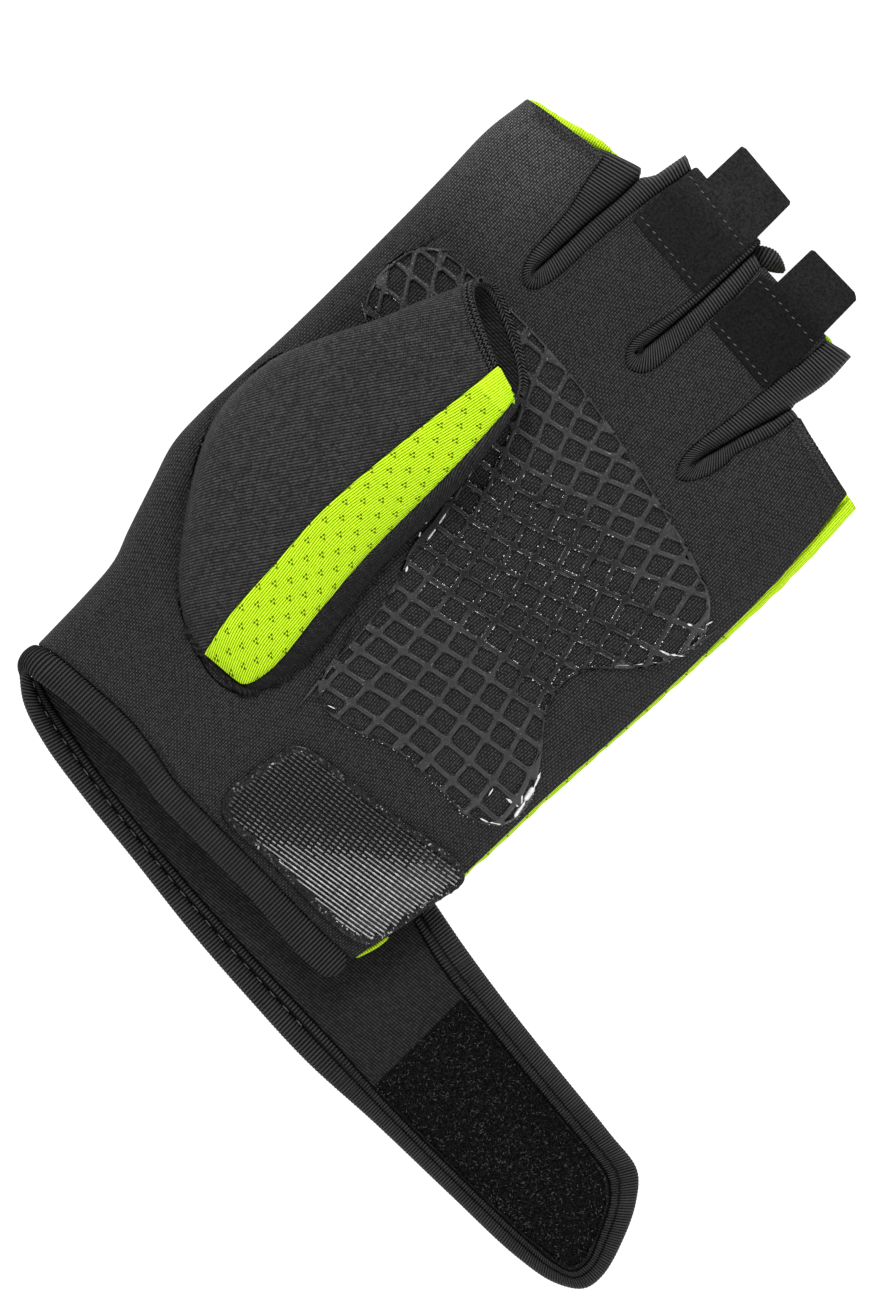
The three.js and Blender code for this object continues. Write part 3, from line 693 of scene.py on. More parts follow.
def tube(along: int, around: int, place: Place, scale: Pair = (1, 1)) -> BMesh:
    """A closed tube with closed ends.

    Args:
        along: steps from end to end.
        around: steps round the section.
        place: gives the point at a share along and a share around.
        scale: the tube's length and girth for the cloth's own map.

    Returns:
        The tube's mesh.
    """
    mesh = bmesh.new()
    bmesh.ops.create_grid(mesh, x_segments=along, y_segments=around, size=0.5)
    layer = mesh.loops.layers.uv.new(CLOTH_UV)
    for face in mesh.faces:
        for loop in face.loops:
            corner = loop.vert.co
            loop[layer].uv = ((corner.x + 0.5) * scale[0], (corner.y + 0.5) * scale[1])
    for vert in mesh.verts:
        vert.co = place(vert.co.x + 0.5, vert.co.y + 0.5)
    bmesh.ops.remove_doubles(mesh, verts=mesh.verts, dist=1e-4)
    rims = [edge for edge in mesh.edges if edge.is_boundary]
    bmesh.ops.holes_fill(mesh, edges=rims, sides=0)
    bmesh.ops.recalc_face_normals(mesh, faces=mesh.faces)
    return mesh


class Repeats:
    """Many copies of one small shape, joined into one mesh."""

    def __init__(self, shape: BMesh | None = None) -> None:
        """Reads a shape's corners and faces, then frees it.

        Args:
            shape: the shape, or else the bead of a stitch.
        """
        shape = shape or bead()
        shape.verts.index_update()
        self.corners = [vert.co.copy() for vert in shape.verts]
        self.faces = [[vert.index for vert in face.verts] for face in shape.faces]
        self.points: list[Vector] = []
        self.polygons: list[list[int]] = []
        shape.free()

    def add(self, middle: Vector, axis: Vector, up: Vector, sizes: Triple) -> None:
        """Adds one copy.

        Args:
            middle: where it lies.
            axis: the way that the shape's Z takes.
            up: the way that its Y is near.
            sizes: its half sizes across, up and along.
        """
        along = axis.normalized()
        side = up.cross(along).normalized()
        width, height, length = sizes
        turn = Matrix((side * width, along.cross(side) * height, along * length)).transposed().to_4x4()
        place = Matrix.Translation(middle) @ turn
        start = len(self.points)
        self.points.extend(place @ corner for corner in self.corners)
        self.polygons.extend([start + index for index in face] for face in self.faces)

    def span(self, start: Vector, end: Vector, up: Vector, width: float, height: float) -> None:
        """Adds one copy that reaches from start to end, with a half width and a half height."""
        self.add((start + end) / 2, end - start, up, (width, height, (end - start).length / 2))

    def mesh(self) -> BMesh:
        """Joins the copies.

        Returns:
            The mesh of them all.
        """
        data = bpy.data.meshes.new("repeats")
        data.from_pydata([tuple(point) for point in self.points], [], self.polygons)
        joined = bmesh.new()
        joined.from_mesh(data)
        bpy.data.meshes.remove(data)
        return joined


def bead(segments: int = 6, rings: int = 4) -> BMesh:
    """Makes a small round shape of radius 1 with its poles on Z, the start of a stitch.

    Args:
        segments: how many faces it has round it.
        rings: how many it has from pole to pole.

    Returns:
        The shape.
    """
    shape = bmesh.new()
    bmesh.ops.create_uvsphere(shape, u_segments=segments, v_segments=rings, radius=1)
    return shape


@dataclass(frozen=True)
class Thread:
    """A row of stitches: how long each is, how far to the next, and how thick."""

    length: float
    pitch: float
    width: float
    height: float

    def sew(self, stitches: Repeats, route: Route, surface: Place, slant: float = 0) -> None:
        """Adds a row of stitches along a plan route on a surface.

        Args:
            stitches: what the stitches are added to.
            route: the plan line.
            surface: the point of the cloth at a plan point.
            slant: how far each stitch is turned from the line, in degrees.
        """
        count = max(1, int(route.length / self.pitch))
        turn = Matrix.Rotation(math.radians(slant), 3, "Z")
        for i in range(count):
            place = (i + 0.5) * route.length / count
            middle = route.at(place)[0]
            reach = turn @ route.heading(place) * (self.length / 2)
            ends = [surface(middle.x + way * reach.x, middle.y + way * reach.y) for way in (-1, 1)]
            stitches.span(*ends, UP, self.width / 2, self.height / 2)


Colour = Four


def tone(*screen: float) -> Colour:
    """Turns a colour into linear light.

    Args:
        screen: its red, green and blue as screen values from 0 to 255.

    Returns:
        The colour.
    """
    shares = [part / 255 for part in screen]
    light = [share / 12.92 if share <= 0.04045 else ((share + 0.055) / 1.055) ** 2.4 for share in shares]
    return (*light, 1)


def grey(value: float) -> Colour:
    """A neutral tone of one screen value."""
    return tone(value, value, value)


class Wire:
    """A value on its way through the nodes, for plain arithmetic."""

    def __init__(self, board: "Board", socket: bpy.types.NodeSocket) -> None:
        """Keeps the socket that the value comes from."""
        self.board, self.socket = board, socket

    def __add__(self, other: "Wire | float") -> "Wire":
        """The sum of two values."""
        return self.board.math("ADD", self, other)

    def __sub__(self, other: "Wire | float") -> "Wire":
        """The difference of two values."""
        return self.board.math("SUBTRACT", self, other)

    def __mul__(self, other: "Wire | float") -> "Wire":
        """The product of two values."""
        return self.board.math("MULTIPLY", self, other)

    def __truediv__(self, other: float) -> "Wire":
        """The value divided by a number."""
        return self.board.math("DIVIDE", self, other)

    def __mod__(self, other: float) -> "Wire":
        """What is left of the value past whole multiples of a number."""
        return self.board.math("FLOORED_MODULO", self, other)


Input = Wire | float | Sequence[float]


class Board:
    """The nodes of a material or of the surround, wired by short calls."""

    def __init__(self, owner: bpy.types.Material | bpy.types.World, shader: str = "Principled BSDF") -> None:
        """Starts with the owner's own shader.

        Args:
            owner: what the nodes are for.
            shader: the name of its shader's node.
        """
        owner.use_nodes = True
        self.tree = owner.node_tree
        self.shader = self.tree.nodes[shader]

    def feed(self, node: bpy.types.Node, key: int | str, value: Input) -> None:
        """Wires a node's input, or sets its constant value.

        Args:
            node: the node.
            key: the input's name or number.
            value: what goes in.
        """
        if isinstance(value, Wire):
            self.tree.links.new(value.socket, node.inputs[key])
        else:
            node.inputs[key].default_value = value

    def set(self, **sockets: Input) -> None:
        """Feeds the shader's own sockets, named with _ for a space."""
        for name, value in sockets.items():
            self.feed(self.shader, name.replace("_", " "), value)

    def wire(self, kind: str, inputs: dict[int | str, Input], output: int | str = 0, **settings: str) -> Wire:
        """Adds a node.

        Args:
            kind: the node's type, after its first words.
            inputs: what goes into its sockets.
            output: the socket that the result comes from.
            settings: the node's settings.

        Returns:
            The result.
        """
        made = self.tree.nodes.new("ShaderNode" + kind)
        for name, value in settings.items():
            setattr(made, name, value)
        for key, value in inputs.items():
            self.feed(made, key, value)
        return Wire(self, made.outputs[output])

    def math(self, operation: str, *values: Wire | float) -> Wire:
        """The result of a Math node."""
        return self.wire("Math", dict(enumerate(values)), operation=operation)

    def cloth(self) -> Wire:
        """The cloth's own map, in millimetres."""
        return self.wire("UVMap", {}, uv_map=CLOTH_UV)

    def place(self) -> Wire:
        """The point in the glove's own frame, in millimetres."""
        return self.wire("Mapping", {"Vector": self.wire("TexCoord", {}, "Object"), "Scale": (1 / MM,) * 3})

    def split(self, vector: Wire) -> tuple[Wire, Wire]:
        """The first two parts of a vector."""
        return self.wire("SeparateXYZ", {0: vector}), self.wire("SeparateXYZ", {0: vector}, 1)

    def noise(self, vector: Wire, size: float, detail: float = 2) -> Wire:
        """Soft noise between 0 and 1 with features of a size in millimetres."""
        return self.wire("TexNoise", {"Vector": vector, "Scale": 1 / size, "Detail": detail})

    def cell_value(self, across: Wire, along: Wire) -> Wire:
        """A number between 0 and 1 that is the same over each whole cell."""
        cell = self.wire("CombineXYZ", {0: self.math("FLOOR", across), 1: self.math("FLOOR", along)})
        return self.wire("TexWhiteNoise", {"Vector": cell}, "Value", noise_dimensions="2D")

    def wave(self, value: Wire, sharpness: float) -> Wire:
        """Round ridges, one for each whole number of the value."""
        return self.math("POWER", self.math("ABSOLUTE", self.math("SINE", value * math.pi)), sharpness)

    def ramp(self, value: Wire, *stops: tuple[float, float | Colour]) -> Wire:
        """Looks a colour up.

        Args:
            value: where on the ramp.
            stops: the ramp's places and their colours, or the screen values of their greys.

        Returns:
            The colour.
        """
        made = self.wire("ValToRGB", {0: value})
        points = made.socket.node.color_ramp.elements
        while len(points) < len(stops):
            points.new(0.5)
        for point, (at, colour) in zip(points, stops):
            point.position = at
            point.color = colour if isinstance(colour, tuple) else grey(colour)
        return made

    def scaled(self, colour: Wire, factor: Wire) -> Wire:
        """A colour made lighter or darker by a factor."""
        return self.wire("VectorMath", {0: colour, "Scale": factor}, operation="SCALE")

    def spread(self, value: Wire, low: float, high: float) -> Wire:
        """The value of 0 to 1 stretched to run from low to high."""
        return self.wire("MapRange", {"Value": value, "To Min": low, "To Max": high})

    def uneven(self, vector: Wire, size: float, reach: float, middle: float = 0, detail: float = 2) -> Wire:
        """Soft noise that strays from a middle value by up to a reach."""
        return self.spread(self.noise(vector, size, detail), middle - reach, middle + reach)

    def step(self, value: Wire, across: Sequence[float], ends: Sequence[float]) -> Wire:
        """A smooth step from one end value to the other as the value goes across a stretch."""
        sockets = dict(zip(("Value", "From Min", "From Max", "To Min", "To Max"), (value, *across, *ends)))
        return self.wire("MapRange", sockets, interpolation_type="SMOOTHSTEP")

    def bump(self, height: Wire, depth: float) -> None:
        """Roughens the surface by a height between 0 and 1, of a depth in millimetres."""
        self.set(Normal=self.wire("Bump", {"Strength": 1, "Distance": depth * MM, "Height": height}))


class Weave(Enum):
    """How the yarn of a cloth lies."""

    GRID = "grid"
    TWILL = "twill"
    RIB = "rib"


@dataclass(frozen=True)
class ClothFinish:
    """A dark charcoal cloth: its yarn's tones, its pitch across and along, and how it lies."""

    groove: float
    yarn: float
    fleck: float
    across: float
    along: float
    weave: Weave
    # How far the rows lean, and how deep they stand out
    lean: float = 0
    depth: float = 0.16
    # How much of the tone comes from the yarn's lines, from its fuzz, and from each stitch's own chance
    lines: float = 0.5
    grain: float = 0.36
    chance: float = 0.14
    # How much paler the cloth is painted, as light falling on the index finger, and where that is
    stretched: float = 0
    light_pool_x: Pair = (-40, -20)
    light_pool_y: Pair = (48, 80)
    # From and to where across the glove painted shade and light change the cloth's tone, and its factors
    # before and after
    shade: Four = (0, 1, 1, 1)

    def dress(self, board: Board) -> None:
        """Builds the nodes.

        Args:
            board: the material's nodes.
        """
        board.set(Roughness=0.8, Sheen_Weight=0.02, Sheen_Roughness=0.5, Specular_IOR_Level=0.12)
        flat = board.cloth()
        x, y = board.split(flat)
        wander = board.uneven(flat, 3, 0.3)
        across = x / self.across + wander
        along = (y + x * self.lean) / self.along + wander
        height = self.yarns(board, x, y, across, along)
        fuzz = board.noise(flat, 0.38, 3)
        level = height * self.lines + fuzz * self.grain + board.cell_value(across, along) * self.chance
        tones = board.ramp(level, (0.24, self.groove), (0.5, self.yarn), (0.76, self.fleck))
        place_x, place_y = board.split(board.place())
        factor = board.uneven(flat, 24, 0.15, 1, 3)
        # Painted shade and light by place across the glove
        factor *= board.step(place_x, self.shade[:2], self.shade[2:])
        # The index finger painted paler, as light falling there
        if self.stretched:
            over = board.step(place_y, self.light_pool_y, (0, 1)) * board.step(place_x, self.light_pool_x, (1, 0))
            factor *= over * self.stretched + 1
        board.set(Base_Color=board.scaled(tones, factor))
        board.bump(height + fuzz * 0.6, self.depth)

    def yarns(self, board: Board, x: Wire, y: Wire, across: Wire, along: Wire) -> Wire:
        """Works out how high the yarns stand.

        Args:
            board: the material's nodes.
            x: the place across the cloth, in millimetres.
            y: the place along it.
            across: the place across it, in stitches.
            along: the place along it, in stitches.

        Returns:
            The height, from 0 to 1.
        """
        if self.weave is Weave.TWILL:
            return board.wave(across - along, 0.9) * (board.wave(y / 0.36 + x / 4, 0.7) * 0.4 + 0.6)
        rows, columns = board.wave(along, 0.6), board.wave(across, 0.8)
        if self.weave is Weave.RIB:
            return rows * (columns * 0.4 + 0.6)
        halves = [board.math("SINE", value * math.pi) for value in (across, along)]
        return rows * columns + halves[0] * halves[1] * 0.25


@dataclass(frozen=True)
class RibFinish:
    """The yarn of the ribbed bands and bindings, whose modelled ribs lie a set pitch apart on the map."""

    groove: float
    dark: float
    light: float
    pitch: float
    # Along the strap, from and to where the ribs split into finer and fainter ones, and how many
    finer: Pair | None = None
    split: float = 1.27
    twist: float = 0.34

    def dress(self, board: Board) -> None:
        """Builds the nodes.

        Args:
            board: the material's nodes.
        """
        board.set(Roughness=0.7, Sheen_Weight=0.02, Sheen_Roughness=0.45, Specular_IOR_Level=0.14)
        flat = board.cloth()
        x, y = board.split(flat)
        turns = x / self.pitch
        ribs = board.wave(turns, 0.9)
        if self.finer:
            share = board.step(board.split(board.place())[0], self.finer, (0, 1))
            ribs = board.wire("Mix", {0: share, 2: ribs, 3: board.wave(turns * self.split, 0.9)})
        strands = board.wave(y / self.twist + turns, 0.6)
        yarn = board.noise(flat, 0.32, 3)
        level = yarn * 0.28 + board.noise(flat, 7) * 0.16 + ribs * 0.46 + strands * 0.1
        board.set(Base_Color=board.ramp(level, (0.34, self.groove), (0.54, self.dark), (0.76, self.light)))
        board.bump(ribs + yarn * 0.6 + strands * 0.4, 0.18)


@dataclass(frozen=True)
class MeshFinish:
    """The neon mesh: fine ribs along it and staggered rows of small three-hole eyelets."""

    hole: Colour
    gap: Colour
    shade: Colour
    bright: Colour
    # How far apart the ribs, their stitches, the groups of eyelets and the lines of groups lie
    rib: float = 0.51
    row: float = 0.42
    group: float = 4.1
    line: float = 2.62
    # Each hole's place in its group, and from and to which squared distance the mesh closes round it
    holes: Rows = ((1.45, 1.1), (2.15, 0.95), (2.05, 1.6))
    closing: Pair = (0.022, 0.08)
    # From and to where along the map the mesh is hemmed, with no eyelets
    hemmed: Pair = (37, 38.5)

    def dress(self, board: Board) -> None:
        """Builds the nodes.

        Args:
            board: the material's nodes.
        """
        board.set(Roughness=0.75, Sheen_Weight=0.03, Specular_IOR_Level=0.05)
        flat = board.cloth()
        x, y = board.split(flat)
        wander = board.uneven(flat, 4, 0.25)
        height = board.wave(x / self.rib + wander, 1.1) * (board.wave(y / self.row, 0.7) * 0.55 + 0.45)
        level = height * 0.62 + board.noise(flat, 0.45, 3) * 0.4
        hemmed = board.step(y, self.hemmed, (0, 1))
        level = level * board.math("MAXIMUM", self.eyelets(board, x, y), hemmed) + hemmed * 0.1
        stops = ((0.05, self.hole), (0.3, self.gap), (0.46, self.shade), (0.7, self.bright))
        board.set(Base_Color=board.ramp(level, *stops))
        board.bump(level, 0.25)

    def eyelets(self, board: Board, x: Wire, y: Wire) -> Wire:
        """Works out where the mesh is open.

        Args:
            board: the material's nodes.
            x: the place across the mesh.
            y: the place along it.

        Returns:
            1 on the cloth and near 0 in the eyelets, each a small open triangle of three holes.
        """
        shift = board.math("FLOOR", y / self.line) % 2 * (self.group / 2)
        inside, up = (x + shift) % self.group, y % self.line
        result = None
        for place_x, place_y in self.holes:
            dx, dy = inside - place_x, up - place_y
            hole = board.step(dx * dx + dy * dy, self.closing, (0, 1))
            result = result * hole if result else hole
        return result


@dataclass(frozen=True)
class SuedeFinish:
    """Brushed black suede, paler towards the free ends of the pull tabs."""

    dark: float
    light: float
    # From and to where, along the fingers, the suede grows paler, and how much paler it grows
    rise: Pair = (90, 98)
    paler_end: float = 1.6
    # From and to where, across them, the suede grows darker, and its factor there
    fall: Pair = (-2, 8)
    darker: float = 0.75

    def dress(self, board: Board) -> None:
        """Builds the nodes.

        Args:
            board: the material's nodes.
        """
        board.set(Roughness=0.95, Sheen_Weight=0.02, Specular_IOR_Level=0.06)
        place = board.place()
        x, y = board.split(place)
        nap = board.noise(place, 0.5, 4)
        factor = board.uneven(place, 5, 0.2, 1)
        factor *= board.step(y, self.rise, (1, self.paler_end)) * board.step(x, self.fall, (1, self.darker))
        board.set(Base_Color=board.scaled(board.ramp(nap, (0.32, self.dark), (0.68, self.light)), factor))
        board.bump(nap, 0.16)


@dataclass(frozen=True)
class PlainFinish:
    """A finish of two close tones in fine noise, for thread, tape, pile and gloss."""

    dark: float
    light: float
    roughness: float
    grain: float
    depth: float
    specular: float = 0.15

    def dress(self, board: Board) -> None:
        """Builds the nodes.

        Args:
            board: the material's nodes.
        """
        board.set(Roughness=self.roughness, Specular_IOR_Level=self.specular)
        grain = board.noise(board.place(), self.grain, 4)
        board.set(Base_Color=board.ramp(grain, (0.3, self.dark), (0.7, self.light)))
        board.bump(grain, self.depth)


@dataclass(frozen=True)
class SiliconeFinish:
    """The print's silicone: mid grey and dull at both ends, glossy across its middle, where its colour is
    painted dark as the gloss's reflection.
    """

    dull: float = 43
    dark: float = 22
    # The middle of the glossy part with its painted dark reflection, and from and to how far from it both
    # fade
    middle: float = 19
    fade: Pair = (12, 21)
    # How far the edge of the gloss and its painted reflection wanders
    wander: float = 9
    smooth: float = 0.16
    rough: float = 0.3

    def dress(self, board: Board) -> None:
        """Builds the nodes.

        Args:
            board: the material's nodes.
        """
        place = board.place()
        wander = board.uneven(place, 9, self.wander)
        away = board.math("ABSOLUTE", board.split(place)[1] + wander - self.middle)
        share = board.step(away, self.fade, (0, 1))
        # Painted dark reflection across the glossy middle, mid grey at the dull ends
        tones = board.wire("Mix", {0: share, 6: grey(self.dark), 7: grey(self.dull)}, 2, data_type="RGBA")
        # Soft random patches of lighter and darker tone, partly painted sheen
        tones = board.scaled(tones, board.uneven(place, 1.6, 0.65, 1, 3))
        roughness = share * (self.rough - self.smooth) + self.smooth
        board.set(Specular_IOR_Level=0.5, Base_Color=tones, Roughness=roughness)
        board.bump(board.noise(place, 0.5, 3), 0.12)


FINISHES = {
    # The knit's index finger is painted paler, as light falling there
    "palm_knit": ClothFinish(4, 35, 71, 0.58, 0.41, Weave.GRID, lean=0.11, stretched=1.05),
    # The twill is painted darker past the stripe's right side, as shade where the sleeve turns down
    "thumb_twill": ClothFinish(
        4, 36, 88, 0.725, 1.05, Weave.TWILL, lines=0.3, grain=0.56, chance=0.08, shade=(-10, -7.5, 1, 0.58),
    ),
    # The sleeve's ribbed inside, painted darker as the shade within it
    "thumb_inside_shaded": ClothFinish(2, 16, 44, 0.9, 0.6, Weave.RIB, depth=0.25),
    # The strap's knit is painted lighter towards the index side, as light on its inner band
    "strap_knit": ClothFinish(3, 19, 46, 0.66, 0.56, Weave.RIB, lean=-0.107, shade=(28, 50, 1.4, 1)),
    "gap_rib": RibFinish(0, 16, 71, 0.65),
    "binding_rib": RibFinish(0, 12, 58, 0.73, (50, 68)),
    "neon_mesh": MeshFinish(tone(84, 98, 0), tone(112, 152, 0), tone(178, 228, 8), tone(214, 255, 50)),
    "suede": SuedeFinish(17, 34),
    "silicone": SiliconeFinish(),
    # Painted highlights on the print's silicone
    "glint": PlainFinish(190, 250, 0.15, 0.8, 0.02, 0.8),
    "hook_tape": PlainFinish(8, 30, 0.3, 0.6, 0.1, 0.3),
    # Grades of painted highlight, for the hooks, the melted border's crumbs and the print's dim beads
    "dim_highlight": PlainFinish(60, 96, 0.3, 0.6, 0.05, 0.4),
    "grey_highlight": PlainFinish(82, 126, 0.25, 0.6, 0.05, 0.5),
    "pale_highlight": PlainFinish(112, 165, 0.25, 0.6, 0.05, 0.5),
    "bright_highlight": PlainFinish(128, 188, 0.2, 1.5, 0.04, 0.6),
    "pile": PlainFinish(3, 14, 0.9, 0.5, 0.3, 0.05),
    "pile_dark": PlainFinish(10, 40, 0.6, 0.6, 0.05),
    "pile_pale": PlainFinish(60, 120, 0.5, 0.6, 0.05, 0.3),
    "dark_thread": PlainFinish(10, 40, 0.6, 0.3, 0.05),
    "hem_thread": PlainFinish(30, 84, 0.6, 0.3, 0.05),
    "pale_thread": PlainFinish(62, 118, 0.6, 0.3, 0.05),
}


# How far a chevron's halves lean, as a share of the pitch, and reach, and half their width and height
CHEVRON_LEAN = 0.45
CHEVRON_REACH = 0.95
CHEVRON_HALF = (0.13, 0.14)


def sew_zigzag(stitches: Repeats, length: float, pitch: float, lanes: Sequence[float], point: Place) -> None:
    """Adds the chevrons of an overlocked hem.

    Args:
        stitches: what the stitches are added to.
        length: the hem's length.
        pitch: how far it is from one chevron to the next.
        lanes: how far in from the edge each row of chevrons starts.
        point: the cloth's point at a distance along the hem and a distance in from its edge.
    """
    count = int(length / pitch)
    for i in range(count):
        at = (i + 0.5) * length / count
        for lane in lanes:
            for lean in (-CHEVRON_LEAN, CHEVRON_LEAN):
                tip = point(at + lean * pitch, lane + CHEVRON_REACH)
                stitches.span(point(at, lane), tip, NEARLY_UP, *CHEVRON_HALF)


class Workshop:
    """Turns finished meshes into pieces that stand for the frame's nodes."""

    def __init__(self) -> None:
        """Builds each finish once."""
        self.materials = {name: bpy.data.materials.new(name) for name in FINISHES}
        for name, finish in FINISHES.items():
            finish.dress(Board(self.materials[name]))
        self.sheets: list[tuple[bpy.types.Object, FlatSize, str, str]] = []

    def declare(self, piece: bpy.types.Object, size: FlatSize, on: str, held: str = "laid") -> None:
        """Notes that a piece is a sheet of cloth of a flat size, what it rests on and how it is held."""
        self.sheets.append((piece, size, on, held))

    def say_sheets(self) -> None:
        """Goes through the noted sheets of cloth, and does nothing with them."""
        for piece, size, on, held in self.sheets:
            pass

    def put(
        self, name: str, mesh: BMesh, finish: str, slot: str, node: str = "", wall: float = 0, rim: float = 0,
        side: int = -1,
    ) -> bpy.types.Object:
        """Makes a piece from a mesh in millimetres.

        Args:
            name: the piece's name.
            mesh: its mesh, which is freed.
            finish: the name of its finish.
            slot: the record's material slot, not used.
            node: the frame's node that it stands for, if any.
            wall: the thickness given to an open sheet.
            rim: how far the thickened sheet's rim is rounded.
            side: -1 where the thickness goes below the sheet's face, 1 where it goes above.

        Returns:
            The piece.
        """
        bmesh.ops.transform(mesh, matrix=Matrix.Scale(MM, 4), verts=mesh.verts)
        data = bpy.data.meshes.new(name)
        mesh.to_mesh(data)
        mesh.free()
        data.shade_smooth()
        data.materials.append(self.materials[finish])
        piece = bpy.data.objects.new(name, data)
        bpy.context.scene.collection.objects.link(piece)
        if wall:
            solid = piece.modifiers.new("wall", "SOLIDIFY")
            solid.thickness = wall * MM
            solid.offset = side
        if rim:
            bevel = piece.modifiers.new("rim", "BEVEL")
            bevel.width = rim * MM
            bevel.segments = 2
            bevel.limit_method = "ANGLE"
            bevel.angle_limit = math.radians(60)
        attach(piece, BODY)
        if node:
            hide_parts(node)
        log.info("%s: %d faces", name, len(data.polygons))
        return piece


SHOP = Workshop()


@dataclass
class Palm:
    """The charcoal knit palm with the palm side of the four half fingers."""

    pitch: float = 1
    # How much of the cloth's width lies on top, round the index side and under it
    top_length: float = 95
    side_length: float = 17.3
    under_length: float = 7.5
    # From and to where along the glove the flat cloth runs before it is cut
    reach: Pair = (-60, 100)
    floor: float = 0.05
    rim: float = 0.5
    # How much room the cloth leaves to the wrist binding's seam and to the finger gaps
    seam_room: float = 0.2
    gap_room: float = 0.1
    thumb_hole: Four = (-27, -10, 15, 19)
    # The index and pinky finger ends, the lanes of their chevrons and the rows of stitches beside them
    hems: tuple[Rows, ...] = (((-49.4, 85.1), (-32.6, 87.5)), ((31, 78.3), (47.4, 74.6)))
    lanes: Pair = (0.35, 1.35)
    edge_rows: Pair = (0.15, 2.45)
    thread: Thread = Thread(0.75, 0.9, 0.2, 0.16)
    chevron: float = 0.85
    stitch_lift: float = 0.02
    # The dark ground under the chevrons: its step, how far in it lies and its half sizes
    ground_step: float = 0.8
    ground_in: float = 1.3
    ground: Triple = (1.1, 0.06, 0.5)

    def place(self, u: float, y: float) -> Vector:
        """Lays the cloth round the glove.

        Args:
            u: the distance from the pinky edge, counted down from 0.
            y: the place along the glove.

        Returns:
            The point of the cloth.
        """
        left, right, *_ = HAND.row(y)
        radius = HAND.radius(y)
        away = -u
        if away <= self.top_length:
            return HAND.on_top(right - away * (right - left - radius) / self.top_length, y)
        turn = math.pi * (away - self.top_length) / self.side_length
        if turn > math.pi:
            return Vector((left + radius + (away - self.top_length - self.side_length), y, self.floor))
        x = left + radius * (1 - math.sin(turn))
        inward = SKIN_LIFT * math.sin(turn)
        if turn < math.pi / 2:
            return HAND.on_top(x, y) - Vector((inward, 0, 0))
        lift = SKIN_LIFT + HAND.ripple(x, y)
        height = radius * (1 + math.cos(turn)) + lift * max(0, 1 + math.cos(turn) * 1.5)
        return Vector((x - inward, y, max(height, self.floor)))

    def inside(self, gaps: list[Outline]) -> Depth:
        """Makes the function that says where the cloth is, for the cut.

        Args:
            gaps: the areas that the finger gaps take.

        Returns:
            The function.
        """
        centre_x, centre_y, half_x, half_y = self.thumb_hole

        def depth(point: Vector) -> float:
            """Measures how deep in the cloth a point is.

            Args:
                point: the point in plan.

            Returns:
                Its distance inside the edge, negative outside.
            """
            spot = self.place(point.x, point.y)
            past_seam = spot.y - HAND.wrist_seam(spot.x) - self.seam_room
            here = min(straight(PALM_TIPS, spot.x) - spot.y, past_seam)
            if -point.x > self.top_length:
                return here
            across, along = (spot.x - centre_x) / half_x, (spot.y - centre_y) / half_y
            return min(here, *(-gap.inside(spot) for gap in gaps), (math.hypot(across, along) - 1) * half_x)

        return depth

    def build(self) -> None:
        """Makes the cloth and sews its finger ends."""
        sheet = flat_grid(-self.top_length - self.side_length - self.under_length, 0, *self.reach, self.pitch)
        cut(sheet, self.inside([gap.room(self.gap_room) for gap in GAPS]))
        size = flat_size(sheet)
        lay(sheet, self.place)
        piece = SHOP.put("palm", sheet, "palm_knit", "charcoal_knit", "palm_panel", PALM_WALL, self.rim)
        SHOP.declare(piece, size, "back")
        self.sew()

    def sew(self) -> None:
        """The rows of stitches inside the index and pinky ends."""
        stitches, lines = Repeats(), Repeats()
        for ends in self.hems:
            edge = Route(plan(ends))

            def point(along: float, away: float) -> Vector:
                """Finds the palm's point along its hem.

                Args:
                    along: the distance along the hem.
                    away: the distance in from it.

                Returns:
                    The point.
                """
                inward = -leftward(edge.heading(edge.length / 2))
                spot = edge.at(clamp(along, 0, edge.length))[0] + inward * away
                return HAND.on_top(spot.x, spot.y, self.stitch_lift)

            sew_zigzag(stitches, edge.length, self.chevron, self.lanes, point)
            step = self.ground_step
            for i in range(int(edge.length / step)):
                here, there = point(i * step, self.ground_in), point(i * step + step, self.ground_in)
                lines.add((here + there) / 2, there - here, NEARLY_UP, self.ground)
            for away in self.edge_rows:
                line = Route([point(along, away) for along in range(0, int(edge.length) + 1)])
                self.thread.sew(lines, line, lambda x, y: HAND.on_top(x, y, self.stitch_lift))
        SHOP.put("palm_stitches", stitches.mesh(), "hem_thread", "charcoal_knit")
        SHOP.put("palm_hem_lines", lines.mesh(), "dark_thread", "charcoal_knit")


# How far the tape's folds rise in each finger gap
BAND_RUFFLES = (0.4, 0.5, 0.95)


